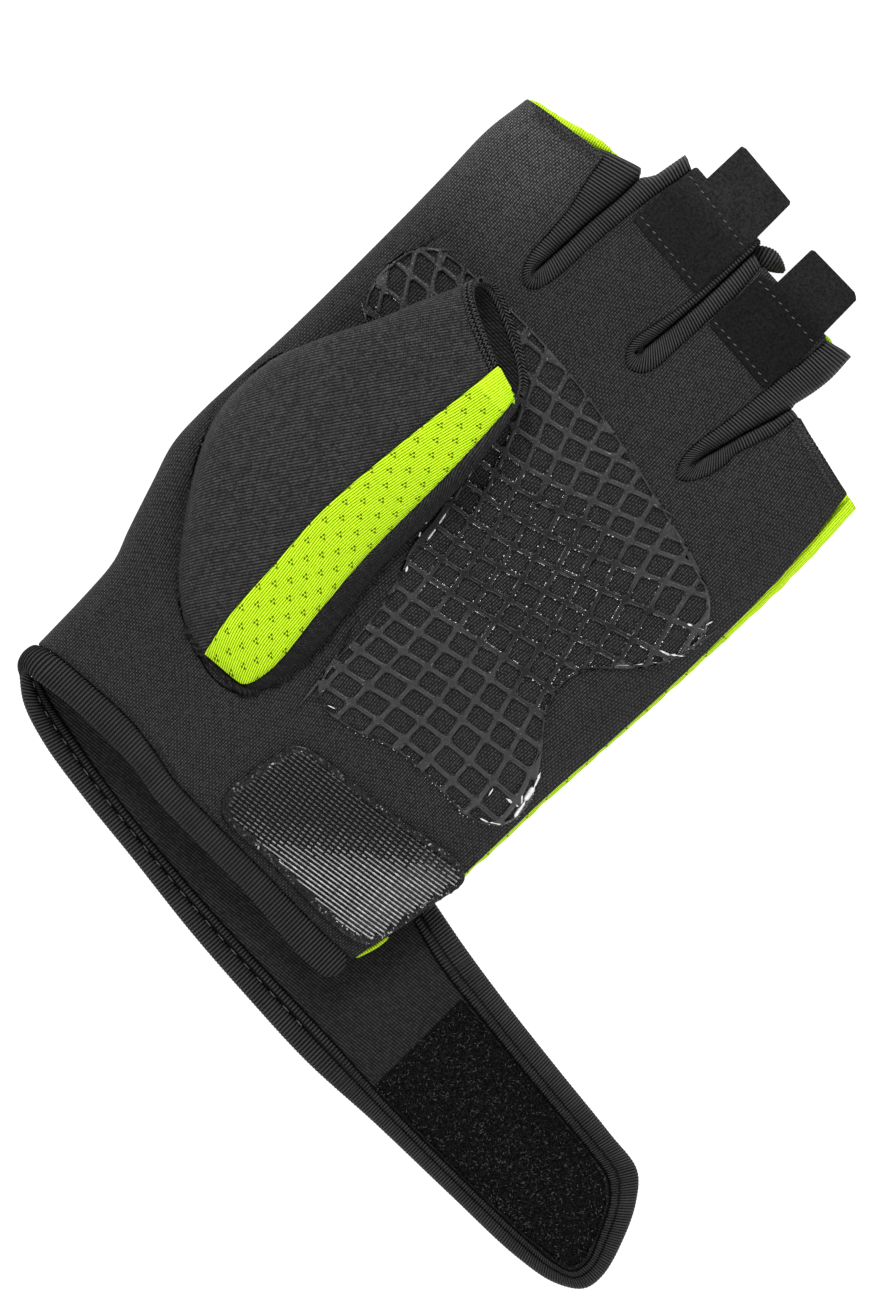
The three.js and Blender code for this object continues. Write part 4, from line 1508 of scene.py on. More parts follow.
@dataclass
class GapBand:
    """The ribbed band that lines one finger gap, rolled over the palm's edge and down into the slit."""

    gap: FingerGap
    ruffle: float
    pitch: float = 0.65
    rib: float = 0.3
    wall: float = 0.7
    down: int = 15
    cells_down: int = 20
    steps_per_rib: int = 5
    # Up to how wide the slit is closed, and from where it is left open
    touching: Pair = (2.4, 3.6)
    closing: float = 0.56
    # From and to how far apart along the glove two points of its sides no longer meet
    level: Pair = (0.3, 1.5)
    # How much longer the ribbed tape is with its ribs pulled out flat
    pulled_out: float = 1.4
    # The roll's section: share of the way from the palm's edge to the slit, height over the palm
    roll: Rows = (
        (-0.2, -1.9), (-0.05, -1.5), (0.02, -0.7), (0.12, 0.35), (0.32, 1), (0.54, 0.95), (0.74, 0.3),
        (0.88, -0.9), (0.97, -2.6), (1, -5.5),
    )
    roll_steps: int = 30
    full_width: float = 3.4
    # How near the band's ends its folds and ribs die down, and how far it sinks there
    ending: float = 1.3
    end_sinks: float = 0.8
    # How wide its folds are
    fold: float = 3.5
    # From and to what share of the way down its ribs fade, and by how much
    ribs_fade: Pair = (0.5, 0.75)
    faded: float = 0.85

    def rails(self) -> tuple[list[Vector], list[Vector]]:
        """Finds the lines that the band runs between.

        Returns:
            The palm's edge and the slit, whose two sides touch where they are close.
        """
        edge, slit = self.gap.rails(240)
        count = len(slit)
        closed = []
        for i, point in enumerate(slit):
            others = slit[count // 2 :] if i < count / 2 else slit[: count // 2]
            other = min(others, key=lambda candidate: abs(candidate.y - point.y))
            share = self.closing * (1 - smoothstep(abs(other.x - point.x), *self.touching))
            share *= 1 - smoothstep(abs(other.y - point.y), *self.level)
            closed.append(Vector((blend(point.x, other.x, share), point.y, 0)))
        return edge, closed

    def build(self) -> None:
        """Makes the band as a strip with its ribs running down it."""
        edge, slit = self.rails()
        route = Route(edge, slit)
        count = round(route.length / self.pitch)
        stretch = route.length / count / self.pitch
        length = count * self.pitch
        section = smooth_line(plan(self.roll), self.roll_steps + 1)
        sheet = flat_cells(count * self.steps_per_rib, self.cells_down, length, self.down)
        size = flat_size(sheet)
        size = FlatSize(size.width * self.pulled_out, size.length, size.area * self.pulled_out)

        def surface(along: float, depth: float) -> Vector:
            """Places a point of the band without its ribs.

            Args:
                along: the distance along the gap.
                depth: the distance down the roll.

            Returns:
                The point.
            """
            top, foot = route.at(along * stretch)
            place = clamp(depth / self.down, 0, 1) * self.roll_steps
            k = min(int(place), self.roll_steps - 1)
            spot = section[k].lerp(section[k + 1], place - k)
            share = (foot - top).length / self.full_width
            ending = 1 - smoothstep(min(along, length - along), 0, self.ending)
            fold = self.ruffle * swell(top.x + foot.x, top.y, self.fold, 1) * min(1, share)
            height = (spot.y + (fold if spot.y > -1 else 0)) * (min(1, 0.15 + share) if spot.y > 0 else 1)
            point = top.lerp(foot, spot.x)
            point.z = max(HAND.top(top.x, top.y) + height - self.end_sinks * ending, SLIT_Z)
            return point

        def place(along: float, depth: float) -> Vector:
            """Places a point of the band with its rib.

            Args:
                along: the distance along the gap.
                depth: the distance down the roll.

            Returns:
                The point.
            """
            point = surface(along, depth)
            over = surface(along, depth + 0.2) - surface(along, depth - 0.2)
            normal = over.cross(route.heading(along * stretch))
            if normal.length < 1e-6:
                return point
            normal.normalize()
            if normal.z < 0 and depth < self.down * 0.6:
                normal.negate()
            fade = smoothstep(depth, 0, 2) * smoothstep(min(along, length - along), 0, self.ending)
            start, end = self.ribs_fade
            fade *= 1 - self.faded * smoothstep(depth, self.down * start, self.down * end)
            return point + normal * self.rib * fade * (ridge(along / self.pitch) - RIDGE_MIDDLE)

        lay(sheet, place)
        face_up(sheet)
        name = self.gap.name
        piece = SHOP.put(name + "_ribs", sheet, "gap_rib", "ribbed_binding", name, self.wall)
        SHOP.declare(piece, size, "palm", "stretched")


@dataclass
class BandCurl:
    """The end of the middle and ring fingers' band, curled over beside the ring finger's tab."""

    # The curl's middle line and half width
    rows: Rows = (
        (1.6, 94.9, 5, 1.3), (3.4, 95.6, 5.6, 2), (5.4, 96.1, 5.4, 2.2), (7.2, 96.4, 4.6, 1.5),
        (8.6, 96.6, 3.4, 0.5),
    )
    pitch: float = 0.62
    rib: float = 0.2
    flat: float = 0.6
    around: int = 20
    # How far its ribs lean, in ribs, and how wide it is on the cloth's map
    lean: float = 0.8
    girth: float = 8

    def build(self) -> None:
        """Makes the curl as a short ribbed leaf."""
        route = Route(smooth_line([Vector(row[:3]) for row in self.rows], 40))
        count = round(route.length / self.pitch)
        widths = Follow([(i / (len(self.rows) - 1), row[3]) for i, row in enumerate(self.rows)], 0, 1)

        def place(along: float, around: float) -> Vector:
            """Places a point of the curl.

            Args:
                along: the share along it.
                around: the share round it.

            Returns:
                The point.
            """
            middle, heading = route.at(along * route.length)[0], route.heading(along * route.length)
            side = -leftward(heading).normalized()
            angle = 2 * math.pi * around
            rise = ridge(along * count + self.lean * math.cos(angle)) - RIDGE_MIDDLE
            reach = widths(along) + self.rib * rise
            out = side * math.cos(angle) + side.cross(heading) * math.sin(angle) * self.flat
            return middle + out * reach

        mesh = tube(count * 5, self.around, place, (count * self.pitch, self.girth))
        SHOP.put("ring_band_curl", mesh, "gap_rib", "ribbed_binding")


@dataclass
class Tab:
    """A suede patch on a finger, running out past its tip as a pull tab."""

    name: str
    corners: Rows
    seams: list[Rows]
    tip_y: float
    pitch: float = 0.7
    lift: float = 0.95
    wall: float = 0.95
    rim: float = 0.3
    droop: float = 0.012
    # How deep its seams draw it in, and from and to how far beside them
    drawn: float = 0.35
    beside: Pair = (0.1, 0.9)
    thread: Thread = Thread(0.9, 1.75, 0.24, 0.34)
    slant: float = 14
    stitch_sunk: float = 0.22

    def surface(self, x: float, y: float, sunk: float = 0) -> Vector:
        """The patch's upper face, whose free end sinks a little."""
        past = max(0, y - self.tip_y)
        return HAND.on_top(x, y, self.lift - SKIN_LIFT - self.droop * past * past) - UP * sunk

    def build(self) -> None:
        """Makes the patch and its dashed seams."""
        outline = Outline(plan(self.corners))
        low, high = outline.low, outline.high
        sheet = flat_grid(low.x - 1, high.x + 1, low.y - 1, high.y + 1, self.pitch)
        cut(sheet, outline.inside)
        size = flat_size(sheet)
        seams = [Route(smooth_line(plan(seam), 24)) for seam in self.seams]

        def place(x: float, y: float) -> Vector:
            """Places a point of the patch, drawn in along its seams.

            Args:
                x: the point's x.
                y: its y.

            Returns:
                The point of the upper face.
            """
            spot = Vector((x, y, 0))
            away = min((spot - point).length for seam in seams for point in seam.lines[0])
            return self.surface(x, y, self.drawn * (1 - smoothstep(away, *self.beside)))

        lay(sheet, place)
        piece = SHOP.put(self.name + "_suede", sheet, "suede", "black_suede", self.name, self.wall, self.rim)
        SHOP.declare(piece, size, "palm")
        stitches = Repeats()
        for seam in seams:
            self.thread.sew(stitches, seam, lambda x, y: self.surface(x, y, self.stitch_sunk), self.slant)
        SHOP.put(self.name + "_stitches", stitches.mesh(), "pale_thread", "black_suede")


TABS = [
    Tab("middle_tab", [
        (-19.6, 82.6), (-18.2, 97.4), (-14.8, 98), (-14.5, 108.2), (0.3, 106.9), (0.3, 97), (0.2, 93),
        (-0.6, 81),
    ], [
        [(-18, 96.5), (-9, 95.4), (-0.2, 94.1)],
        [(-19.2, 84.2), (-10, 83.2), (-0.9, 82.1)],
    ], 98),
    Tab("ring_tab", [
        (5.4, 78.7), (6, 92.6), (9.2, 93), (9.4, 103.5), (21.6, 103.3), (22.7, 102.4), (22.8, 92.4),
        (23.2, 86), (22.2, 77.5),
    ], [
        [(6, 91.6), (15, 91.2), (22.9, 90.5)],
        [(5.6, 79.8), (14, 79.2), (22.2, 78.6)],
    ], 93),
]

# The raised print's border, clockwise from the finger side of its left lobe
PRINT_OUTLINE: Rows = [
    (-43, 51), (-35, 52.7), (-22, 53.2), (-5, 52.3), (10, 50), (24, 46.8), (37, 43.6), (44.6, 39.8),
    (48.2, 33.5), (46.2, 26), (41.5, 19.6), (36.6, 14.8), (34.8, 9), (36.6, 2.6), (42, -4.4), (46.4, -11.4),
    (46.8, -17.8), (42, -22.2), (30, -22.6), (21, -23.2), (12, -26.6), (4.6, -27.2), (1, -24), (0.2, -14),
    (-1.4, -1.6), (-4.8, 7.4), (-5.7, 16), (-12, 27), (-26, 29), (-38, 29.6), (-43.6, 32.8), (-46.6, 40),
    (-45.8, 47.5),
]


@dataclass
class GripPrint:
    """The raised silicone lattice on the palm."""

    line: float = 1.08
    height: float = 0.6
    corner: float = 0.95
    rounding: float = 0.36
    # The least area of a cell that is opened
    least: float = 0.8
    # Columns of the lattice: y, the x of its first line there, and the pitch
    columns: Rows = (
        (-27, 2.2, 6.2), (-15, 2.4, 6.1), (-2, 2.5, 5.5), (7, 1.5, 5.25), (17, 0.1, 5.03), (24, -1.8, 5.05),
        (33, -5, 5.13), (40, -8, 5.3), (47, -11, 5.55), (53, -13, 5.7),
    )
    # Rows of the lattice: their y at each of these x
    row_x: tuple[float, ...] = (-40, 0, 20, 40)
    rows: Rows = (
        (54.8, 58.6, 66, 76), (49.5, 53.3, 61, 70), (44.6, 48.3, 55.5, 63), (39.3, 43.8, 50.6, 57),
        (34, 38.8, 45.8, 52), (29, 33.6, 40.5, 48), (24.6, 29.2, 35.9, 44.8), (20.6, 24.15, 30.2, 39.4),
        (15.4, 18.96, 24.4, 32.3), (10.3, 13.9, 19.2, 25.1), (5.6, 9.27, 14.1, 19.9), (0.9, 4.65, 9, 13.9),
        (-4.1, -0.43, 3.7, 7.6), (-9, -5.4, -1.3, 2.3), (-13.6, -10, -6.3, -3.2), (-18.6, -15, -10.9, -8.3),
        (-23.5, -19.9, -15.9, -14.1), (-28.1, -24.5, -20.8, -19.4), (-33, -29.3, -25.8, -24.4),
    )
    first_column: int = -10
    last_column: int = 13
    # How far each step of the search for a crossing goes
    settling: float = 0.7
    # How far the lattice runs past the border's own line, and how near its end a cut moves a corner
    past_border: float = 0.25
    snap: float = 0.12
    # How near the border a cut's middle is left as it is, and how short such an edge is
    near_enough: float = 0.05
    short: float = 1.2
    # How far the print's lines wander, how its top rises and falls, and how far it sinks into the palm
    wander: float = 0.13
    uneven: float = 0.1
    sunk: float = 0.02
    # The middle of the part with painted highlights along the glove, and how far from it they go and fade
    shine_y: float = 19
    shine_reach: float = 20
    shine_fade: float = 8
    # How far apart the beads of painted highlight may lie, and how many of them are bright
    bead_step: float = 0.4
    bright: float = 0.3
    # The least chance of a bead, how much more the lively parts have, and how it goes from edge to edge
    least_chance: float = 0.25
    lively: float = 0.7
    luck: Pair = (0.1, 1.4)
    # The least and greatest half width of a bead on a cell's rim, and on the border, and how long they are
    rim_bead: Pair = (0.07, 0.115)
    border_bead: Pair = (0.05, 0.11)
    bead_length: Pair = (1.2, 2.4)
    # From and to where the border gets beads of painted highlight: down the palm's heel, across it, and
    # towards the pinky side
    glint_y: Pair = (19, 23)
    glint_x: Pair = (11, 14)
    glint_side: Pair = (45, 46.5)
    glint_share: float = 0.6
    # Painted highlights on the silicone: x, y, x, y and the width of each stroke
    highlight_strokes: Rows = (
        (44.3, -6.6, 45.4, -9.6, 0.7), (45.3, -9.2, 46, -12.8, 1.3), (46, -12.4, 46.9, -16.6, 0.9),
        (43.2, -14.8, 46, -14.2, 0.8), (44.6, -12, 46, -13.6, 0.6), (39.9, -15.2, 40.3, -17, 0.3),
        (42.2, -21.2, 44, -20.6, 0.4), (44.2, -20.4, 46.1, -19, 0.5), (43.9, 34.2, 45.6, 34.9, 0.6),
        (45.5, 34.9, 47.4, 35.9, 0.4), (46.6, 36.4, 47.2, 38.2, 0.3), (43.9, 26.8, 46, 27.6, 0.5),
        (45.9, 27.7, 48, 29.4, 0.5), (39.4, 18.2, 42.4, 21.3, 0.25), (42.6, 21.6, 45.5, 25.2, 0.3),
        (-4.7, 16.6, -4, 13.4, 0.5), (-4, 13.2, -3.4, 9.9, 0.45), (-6.4, 12.7, -6, 11.9, 0.6),
        (-2.6, 3.6, -2, 2.6, 0.5), (-5.6, 10.2, -5, 9.2, 0.4), (5.6, -26.6, 7.2, -26, 0.25),
    )

    def crossings(self) -> dict[tuple[int, int], Vector]:
        """Finds where the lattice's lines cross.

        Returns:
            The crossing of each column and row.
        """
        start, pitch = Follow(self.columns, 0, 1), Follow(self.columns, 0, 2)
        places = {}
        for r, row in enumerate(self.rows):
            height = Follow(list(zip(self.row_x, row)), 0, 1)
            for c in range(self.first_column, self.last_column + 1):
                x, y = 0, row[1]
                for _ in range(12):
                    x = start(y) + pitch(y) * c
                    y = blend(y, height(x), self.settling)
                places[c, r] = Vector((x, y, 0))
        return places

    def lattice(self) -> tuple[BMesh, list[BMFace]]:
        """Makes the flat lattice, cut by its border.

        Returns:
            The lattice and the cells in it that open.
        """
        places = self.crossings()
        across = self.last_column - self.first_column
        down = len(self.rows) - 1
        mesh = bmesh.new()
        bmesh.ops.create_grid(mesh, x_segments=across, y_segments=down, size=0.5)
        for vert in mesh.verts:
            column = round((vert.co.x + 0.5) * across) + self.first_column
            vert.co = places[column, round((0.5 - vert.co.y) * down)]
        border = Outline(moved(smooth_line(plan(PRINT_OUTLINE), 160, True), self.past_border, True))
        cut(mesh, border.inside, self.snap)
        self.follow_border(mesh, border)
        wide = 0.85 * self.line
        cells = [face for face in mesh.faces if 2 * face.calc_area() / face.calc_perimeter() > wide]
        bmesh.ops.inset_individual(mesh, faces=cells, thickness=self.line / 2, use_even_offset=True)
        return mesh, [face for face in cells if face.calc_area() > self.least and face.normal.z > 0]

    def build(self) -> None:
        """Makes the lattice: its cells are opened, then it is raised and rounded."""
        mesh, cells = self.lattice()
        self.sparkle(cells)
        corners = list({vert for face in cells for vert in face.verts})
        shared = {"offset_type": "OFFSET", "profile": 0.5, "material": -1}
        bmesh.ops.bevel(mesh, geom=corners, offset=self.corner, segments=3, affect="VERTICES", **shared)
        holes = [face for face in mesh.faces if len(face.verts) > 4 and self.is_hole(face)]
        bmesh.ops.delete(mesh, geom=holes, context="FACES")
        raised = bmesh.ops.extrude_face_region(mesh, geom=mesh.faces[:], use_keep_orig=True)["geom"]
        tops = [item for item in raised if isinstance(item, BMVert)]
        bmesh.ops.translate(mesh, verts=tops, vec=(0, 0, self.height))
        bmesh.ops.recalc_face_normals(mesh, faces=mesh.faces)
        rims = [edge for edge in mesh.edges if self.is_top_rim(edge)]
        bmesh.ops.bevel(mesh, geom=rims, offset=self.rounding, segments=2, affect="EDGES", **shared)
        for vert in mesh.verts:
            x, y, z = vert.co
            rise = self.uneven * swell(x, y, 2.6, 4) if z > 0.1 else 0
            vert.co += Vector((self.wander * swell(x, y, 1.7, 2), self.wander * swell(x, y, 1.7, 6), rise))
            vert.co.z += HAND.top(x, y) - self.sunk
        SHOP.put("grip_lattice", mesh, "silicone", "grip_silicone", "grip_print")

    def sparkle(self, cells: list[BMFace]) -> None:
        """Adds the beads of painted highlight on the rims of the glossy cells, and the strokes of painted
        highlight.

        Args:
            cells: the cells that open.
        """
        # Beads of bright and of dim painted highlight
        beads, dim = Repeats(bead(5, 3)), Repeats(bead(5, 3))
        spread = random.Random(11)
        for face in cells:
            middle = face.calc_center_median()
            shine = smoothstep(self.shine_reach - abs(middle.y - self.shine_y), 0, self.shine_fade)
            lively = 0.5 + 0.5 * swell(middle.x, middle.y, 8, 2)
            for edge in face.edges:
                a, b = edge.verts[0].co, edge.verts[1].co
                steps = int((b - a).length / self.bead_step)
                chance = shine * (self.least_chance + self.lively * lively) * spread.uniform(*self.luck)
                for i in range(1, steps):
                    if spread.random() > chance:
                        continue
                    spot = a.lerp(b, i / steps)
                    size = spread.uniform(*self.rim_bead)
                    kind = beads if spread.random() < self.bright else dim
                    sizes = (size, size, size * spread.uniform(*self.bead_length))
                    kind.add(HAND.on_top(spot.x, spot.y, self.height - 0.1), b - a, UP, sizes)
        border = Route(smooth_line(plan(PRINT_OUTLINE), 160, True))
        for i in range(int(border.length / self.bead_step)):
            spot = border.at(i * self.bead_step)[0]
            palm_heel = smoothstep(-spot.y, *self.glint_y) * smoothstep(spot.x, *self.glint_x)
            # How much painted highlight the border gets here
            glinting = max(palm_heel, smoothstep(spot.x, *self.glint_side))
            if spread.random() < self.glint_share * glinting:
                size = spread.uniform(*self.border_bead)
                x, y = spot.x + spread.uniform(-0.5, 0.5), spot.y + spread.uniform(-0.5, 0.5)
                way = border.heading(i * self.bead_step)
                beads.add(HAND.on_top(x, y, self.height - 0.2), way, UP, (size, size, size * 1.6))
        # Strokes of painted highlight
        for x0, y0, x1, y1, width in self.highlight_strokes:
            start, end = (HAND.on_top(x, y, self.height * 0.62) for x, y in ((x0, y0), (x1, y1)))
            beads.add((start + end) / 2, end - start, UP, (width / 2, 0.3, (end - start).length * 0.56))
        SHOP.put("print_glints", beads.mesh(), "glint", "grip_silicone")
        SHOP.put("print_sheen", dim.mesh(), "grey_highlight", "grip_silicone")

    def follow_border(self, mesh: BMesh, border: Outline) -> None:
        """Curves the straight cuts by splitting each border edge and moving its middle to the border.

        Args:
            mesh: the flat lattice.
            border: what its cuts follow.
        """
        for edge in [edge for edge in mesh.edges if edge.is_boundary]:
            middle = (edge.verts[0].co + edge.verts[1].co) / 2
            away = border.inside(middle)
            if abs(away) < self.near_enough or edge.calc_length() < self.short:
                continue
            side = leftward((edge.verts[1].co - edge.verts[0].co).normalized())
            test = border.depth(middle.x + side.x * 0.1, middle.y + side.y * 0.1)
            _, made = bmesh.utils.edge_split(edge, edge.verts[0], 0.5)
            made.co = middle + side * (-away if test > away else away)

    def is_hole(self, face: BMFace) -> bool:
        """Whether a face is a cell's open middle, whose corners all lie off the lattice's centre lines."""
        inner = all(not vert.is_boundary and len(vert.link_edges) == 3 for vert in face.verts)
        return face.calc_area() > self.least and inner

    def is_top_rim(self, edge: BMEdge) -> bool:
        """Whether an edge lies between the print's top and its side."""
        high = min(vert.co.z for vert in edge.verts) > self.height * 0.9
        return high and len(edge.link_faces) == 2 and edge.calc_face_angle(0) > 1


HOOK_OUTLINE: Rows = [
    (5.4, -40.7), (4.2, -47.2), (3.8, -51.8), (5.8, -55.9), (18.8, -56.1), (43.8, -54.5), (46.2, -48),
    (47.7, -39.5), (48.7, -32), (45.8, -30.3), (30, -32.6), (9, -35.3), (6.5, -37),
]


@dataclass
class HookPatch:
    """The hook tape on the palm side of the wrist."""

    pitch: float = 0.4
    lift: float = 0.9
    wall: float = 0.9
    rim: float = 0.2
    border: float = 1.6
    box: Four = (3, 50, -57, -29)
    # One step along a row of hooks, and one step to the next row
    along: Vector = Vector((1.214, 0.191, 0))
    across: Vector = Vector((-0.15, 0.803, 0))
    start: Vector = Vector((2, -66, 0))
    # How many rows, and the first and last column
    hooks: tuple[int, int, int] = (50, -2, 48)
    # How much of a hook's shine is chance
    chance: float = 0.09
    # Half a hook's length in steps and half its width, each from dull to bright, and half its height
    half_length: Pair = (0.62, 0.72)
    half_width: Pair = (0.17, 0.2)
    half_height: float = 0.26
    # Half the size of a hook's tip
    tip: Triple = (0.25, 0.22, 0.4)
    # The hooks' finishes, first the tape's own dark, then grades of painted reflection, and up to what shine
    # each but the tape's own is used
    shades: tuple[str, ...] = ("hook_tape", "dim_highlight", "grey_highlight", "pale_highlight", "bright_highlight")
    shine_up_to: tuple[float, ...] = (0.3, 0.55, 0.8, 9)
    # The line that parts the hooks with painted reflection from the dark ones: y and x of its start, its
    # slope, and its fade
    dark_line: Triple = (-57, 9, 0.62)
    dark_fade: Pair = (-13, 7)
    # From and to where the painted reflection on the hooks reaches its full strength, and its strength before
    # that
    brighter: Pair = (10, 32)
    least_bright: float = 0.62
    # How much shine leaves the hooks merged into smooth filaments
    merged: float = 0.6
    # The melted border's crumbs: how many, their least and greatest size, and how long they are
    crumbs: int = 760
    crumb: Pair = (0.1, 0.26)
    crumb_length: float = 1.7
    # Above what chance, from 0 to 1, a crumb is a bright painted highlight, and above what it is a dim one
    glossy: float = 0.98
    dim: float = 0.75

    def surface(self, x: float, y: float) -> Vector:
        """The tape's upper face."""
        return HAND.on_top(x, y, self.lift - SKIN_LIFT)

    def shine(self, x: float, y: float) -> float:
        """Works out how strong the painted reflection on the filaments is.

        Args:
            x: the spot's x.
            y: its y.

        Returns:
            The strength, from 0 at the dark end to 1 in the bright corner.
        """
        y0, x0, slope = self.dark_line
        bright = smoothstep(x - 0.4 * (y + 55), *self.brighter)
        return smoothstep(y0 + (x - x0) * slope - y, *self.dark_fade) * blend(self.least_bright, 1, bright)

    def build(self) -> None:
        """Makes the tape, its melted border, its hooks and its filaments, with painted reflection on them."""
        outline = Outline(smooth_line(plan(HOOK_OUTLINE), 90, True))
        sheet = flat_grid(*self.box, self.pitch)
        cut(sheet, outline.inside)
        size = flat_size(sheet)

        def place(x: float, y: float) -> Vector:
            """Places a point of the tape, whose melted border stands up.

            Args:
                x: the point's x.
                y: its y.

            Returns:
                The point of the tape's face.
            """
            melted = 1 - smoothstep(outline.depth(x, y), self.border * 0.6, self.border)
            lump = 0.5 + 0.5 * swell(x, y, 0.7, 1)
            return self.surface(x, y) + UP * (melted * (0.25 + lump * 0.65))

        lay(sheet, place)
        piece = SHOP.put("hook_tape_base", sheet, "hook_tape", "hook_tape", "hook_patch", self.wall, self.rim)
        SHOP.declare(piece, size, "palm")
        self.plant(outline)
        self.melt(outline, place)

    def plant(self, outline: Outline) -> None:
        """Adds the rows of hooks, which merge into filaments towards the corner where their painted
        reflection is brightest.

        Args:
            outline: the tape's edge.
        """
        kinds = {name: Repeats() for name in self.shades}
        spread = random.Random(5)
        rows, first, last = self.hooks
        for row in range(rows):
            for column in range(first, last):
                spot = self.start + self.along * column + self.across * row
                if outline.inside(spot) < self.border * 0.85:
                    continue
                chance = spread.uniform(-self.chance, self.chance)
                shine = clamp(self.shine(spot.x, spot.y) + chance, 0, 1)
                base = self.surface(spot.x, spot.y)
                half = self.along.length * blend(*self.half_length, smoothstep(shine, 0.3, 0.8))
                kind = next(shade for shade, most in zip(self.shades[1:], self.shine_up_to) if shine < most)
                sizes = (blend(*self.half_width, shine), self.half_height, half)
                kinds[kind].add(base + UP * 0.3, self.along, UP, sizes)
                if shine <= self.merged:
                    tip = base + self.along * 0.5 + UP * 0.35
                    kinds["hook_tape"].add(tip, self.across + UP * 0.5, UP, self.tip)
        for name, repeats in kinds.items():
            SHOP.put("filaments_" + name, repeats.mesh(), name, "hook_tape")

    def melt(self, outline: Outline, place: Place) -> None:
        """Adds the small crumbs of the melted border, some of them coloured as bright and as dim painted
        highlights.

        Args:
            outline: the tape's edge.
            place: the tape's face.
        """
        kinds = {name: Repeats(bead(5, 3)) for name in ("hook_tape", "dim_highlight", "bright_highlight")}
        rim = Route([*outline.points, outline.points[0]])
        spread = random.Random(3)
        for i in range(self.crumbs):
            at = rim.length * (i + 0.5) / self.crumbs
            spot = rim.at(at)[0]
            side = leftward(rim.heading(at))
            if outline.inside(spot + side) < 0:
                side.negate()
            spot = spot + side * spread.uniform(0.15, self.border)
            size = spread.uniform(*self.crumb)
            lean = Vector((spread.uniform(-1, 1), spread.uniform(-1, 1), spread.uniform(0, 0.8)))
            pick = spread.random()
            glossy = self.glossy - 0.08 * smoothstep(spot.x, 20, 44)
            kind = "bright_highlight" if pick > glossy else "dim_highlight" if pick > self.dim else "hook_tape"
            middle = place(spot.x, spot.y) + UP * 0.08
            kinds[kind].add(middle, lean, Vector((0.1, 0.05, 1)), (size, size, size * self.crumb_length))
        for name, repeats in kinds.items():
            SHOP.put("melted_" + name, repeats.mesh(), name, "hook_tape")


# How far round the bindings' rolls are on the cloth's map
ROLL_GIRTH = 12


@dataclass
class WristBinding:
    """The ribbed binding along the palm's wrist edge, carried round the index side to the strap's binding."""

    pitch: float = 0.735
    rib: float = 0.32
    steps: int = 5
    around: int = 24
    right_end: float = 44.3
    # Where the index side is read, the corner past which the seam is the corner's, and the hem's end there
    wrist_y: float = -60
    corner_x: float = -42.7
    end_hem: float = -65.2
    end_turn: float = 2.5
    # The section: share of the way from the seam to the hem, height over the palm
    section: Rows = (
        (0, -1), (0.02, 0.05), (0.12, 0.75), (0.32, 1.15), (0.55, 1.2), (0.78, 0.85), (0.93, 0.2),
        (1, -0.7), (0.95, -1.6), (0.7, -2.1), (0.2, -2), (0, -1.6),
    )
    # The overlock's stitches: how many, the lane and lean of each row, and their half sizes
    seams: int = 84
    lanes: Rows = ((-0.1, 1), (-0.22, -1))
    stitch: Triple = (0.17, 0.14, 0.5)
    # How near the ends the roll closes
    closing: float = 2.2

    def station(self, run: float, straight_run: float) -> tuple[Vector, Vector, Vector]:
        """Reads the way that the binding takes.

        Args:
            run: how far along it.
            straight_run: how far it goes over the palm before it turns round the index side.

        Returns:
            The seam's point, the way to the hem and the way out of the glove.
        """
        if run <= straight_run:
            x = self.right_end - run
            seam = HAND.on_top(x, HAND.wrist_seam(x))
            return seam, Vector((0, HAND.wrist_hem(x) - seam.y, 0)), UP
        left, radius = HAND.row(self.wrist_y)[0], HAND.radius(self.wrist_y)
        turn = (run - straight_run) / radius
        x = left + radius * (1 - math.sin(turn))
        height = blend(HAND.top(left + radius, -58) - radius, radius, smoothstep(turn, 0, 1.2))
        corner = max(x, self.corner_x)
        seam = Vector((x, HAND.wrist_seam(corner), height + radius * math.cos(turn)))
        hem = blend(HAND.wrist_hem(corner), self.end_hem, smoothstep(turn, 0.8, self.end_turn))
        return seam, Vector((0, hem - seam.y, 0)), Vector((-math.sin(turn), 0, math.cos(turn)))

    def build(self) -> None:
        """Makes the binding's roll and the overlock stitches along its seam."""
        radius = HAND.radius(self.wrist_y)
        straight_run = self.right_end - HAND.row(self.wrist_y)[0] - radius
        length = straight_run + radius * self.end_turn
        count = round(length / self.pitch)
        profile = smooth_line(plan(self.section), self.around, True)
        station = cache(lambda along: self.station(along * length, straight_run))

        def place(along: float, round_it: float) -> Vector:
            """Places a point of the roll.

            Args:
                along: the share along it.
                round_it: the share round its section.

            Returns:
                The point.
            """
            seam, reach, out = station(along)
            spot = profile[round(round_it * self.around) % self.around]
            closing = math.sqrt(smoothstep(along * length, 0, self.closing))
            jitter = 0.16 * swell(along * length, 0, 2.4, 5)
            rise = self.rib * (ridge(along * count + jitter) - RIDGE_MIDDLE) * smoothstep(spot.y, -1.6, -0.4)
            share = 0.5 + (spot.x - 0.5) * blend(0.35, 1, closing)
            height = (spot.y + 0.5) * blend(0.3, 1, closing) - 0.5
            return seam + reach * (share + (share - 0.5) * 2 * rise / 5) + out * (height + rise)

        mesh = tube(count * self.steps, self.around, place, (count * self.pitch, ROLL_GIRTH))
        SHOP.put("palm_roll", mesh, "binding_rib", "ribbed_binding", "palm_binding")
        stitches = Repeats()
        for i in range(self.seams):
            for lane, lean in self.lanes:
                seam, reach, out = station((i + 0.5) / self.seams)
                way = station((i + 1.1) / self.seams)[0] - seam + reach * 0.12 * lean
                stitches.add(seam + reach * lane + out * 0.02, way, out, self.stitch)
        SHOP.put("palm_roll_stitches", stitches.mesh(), "dark_thread", "ribbed_binding")


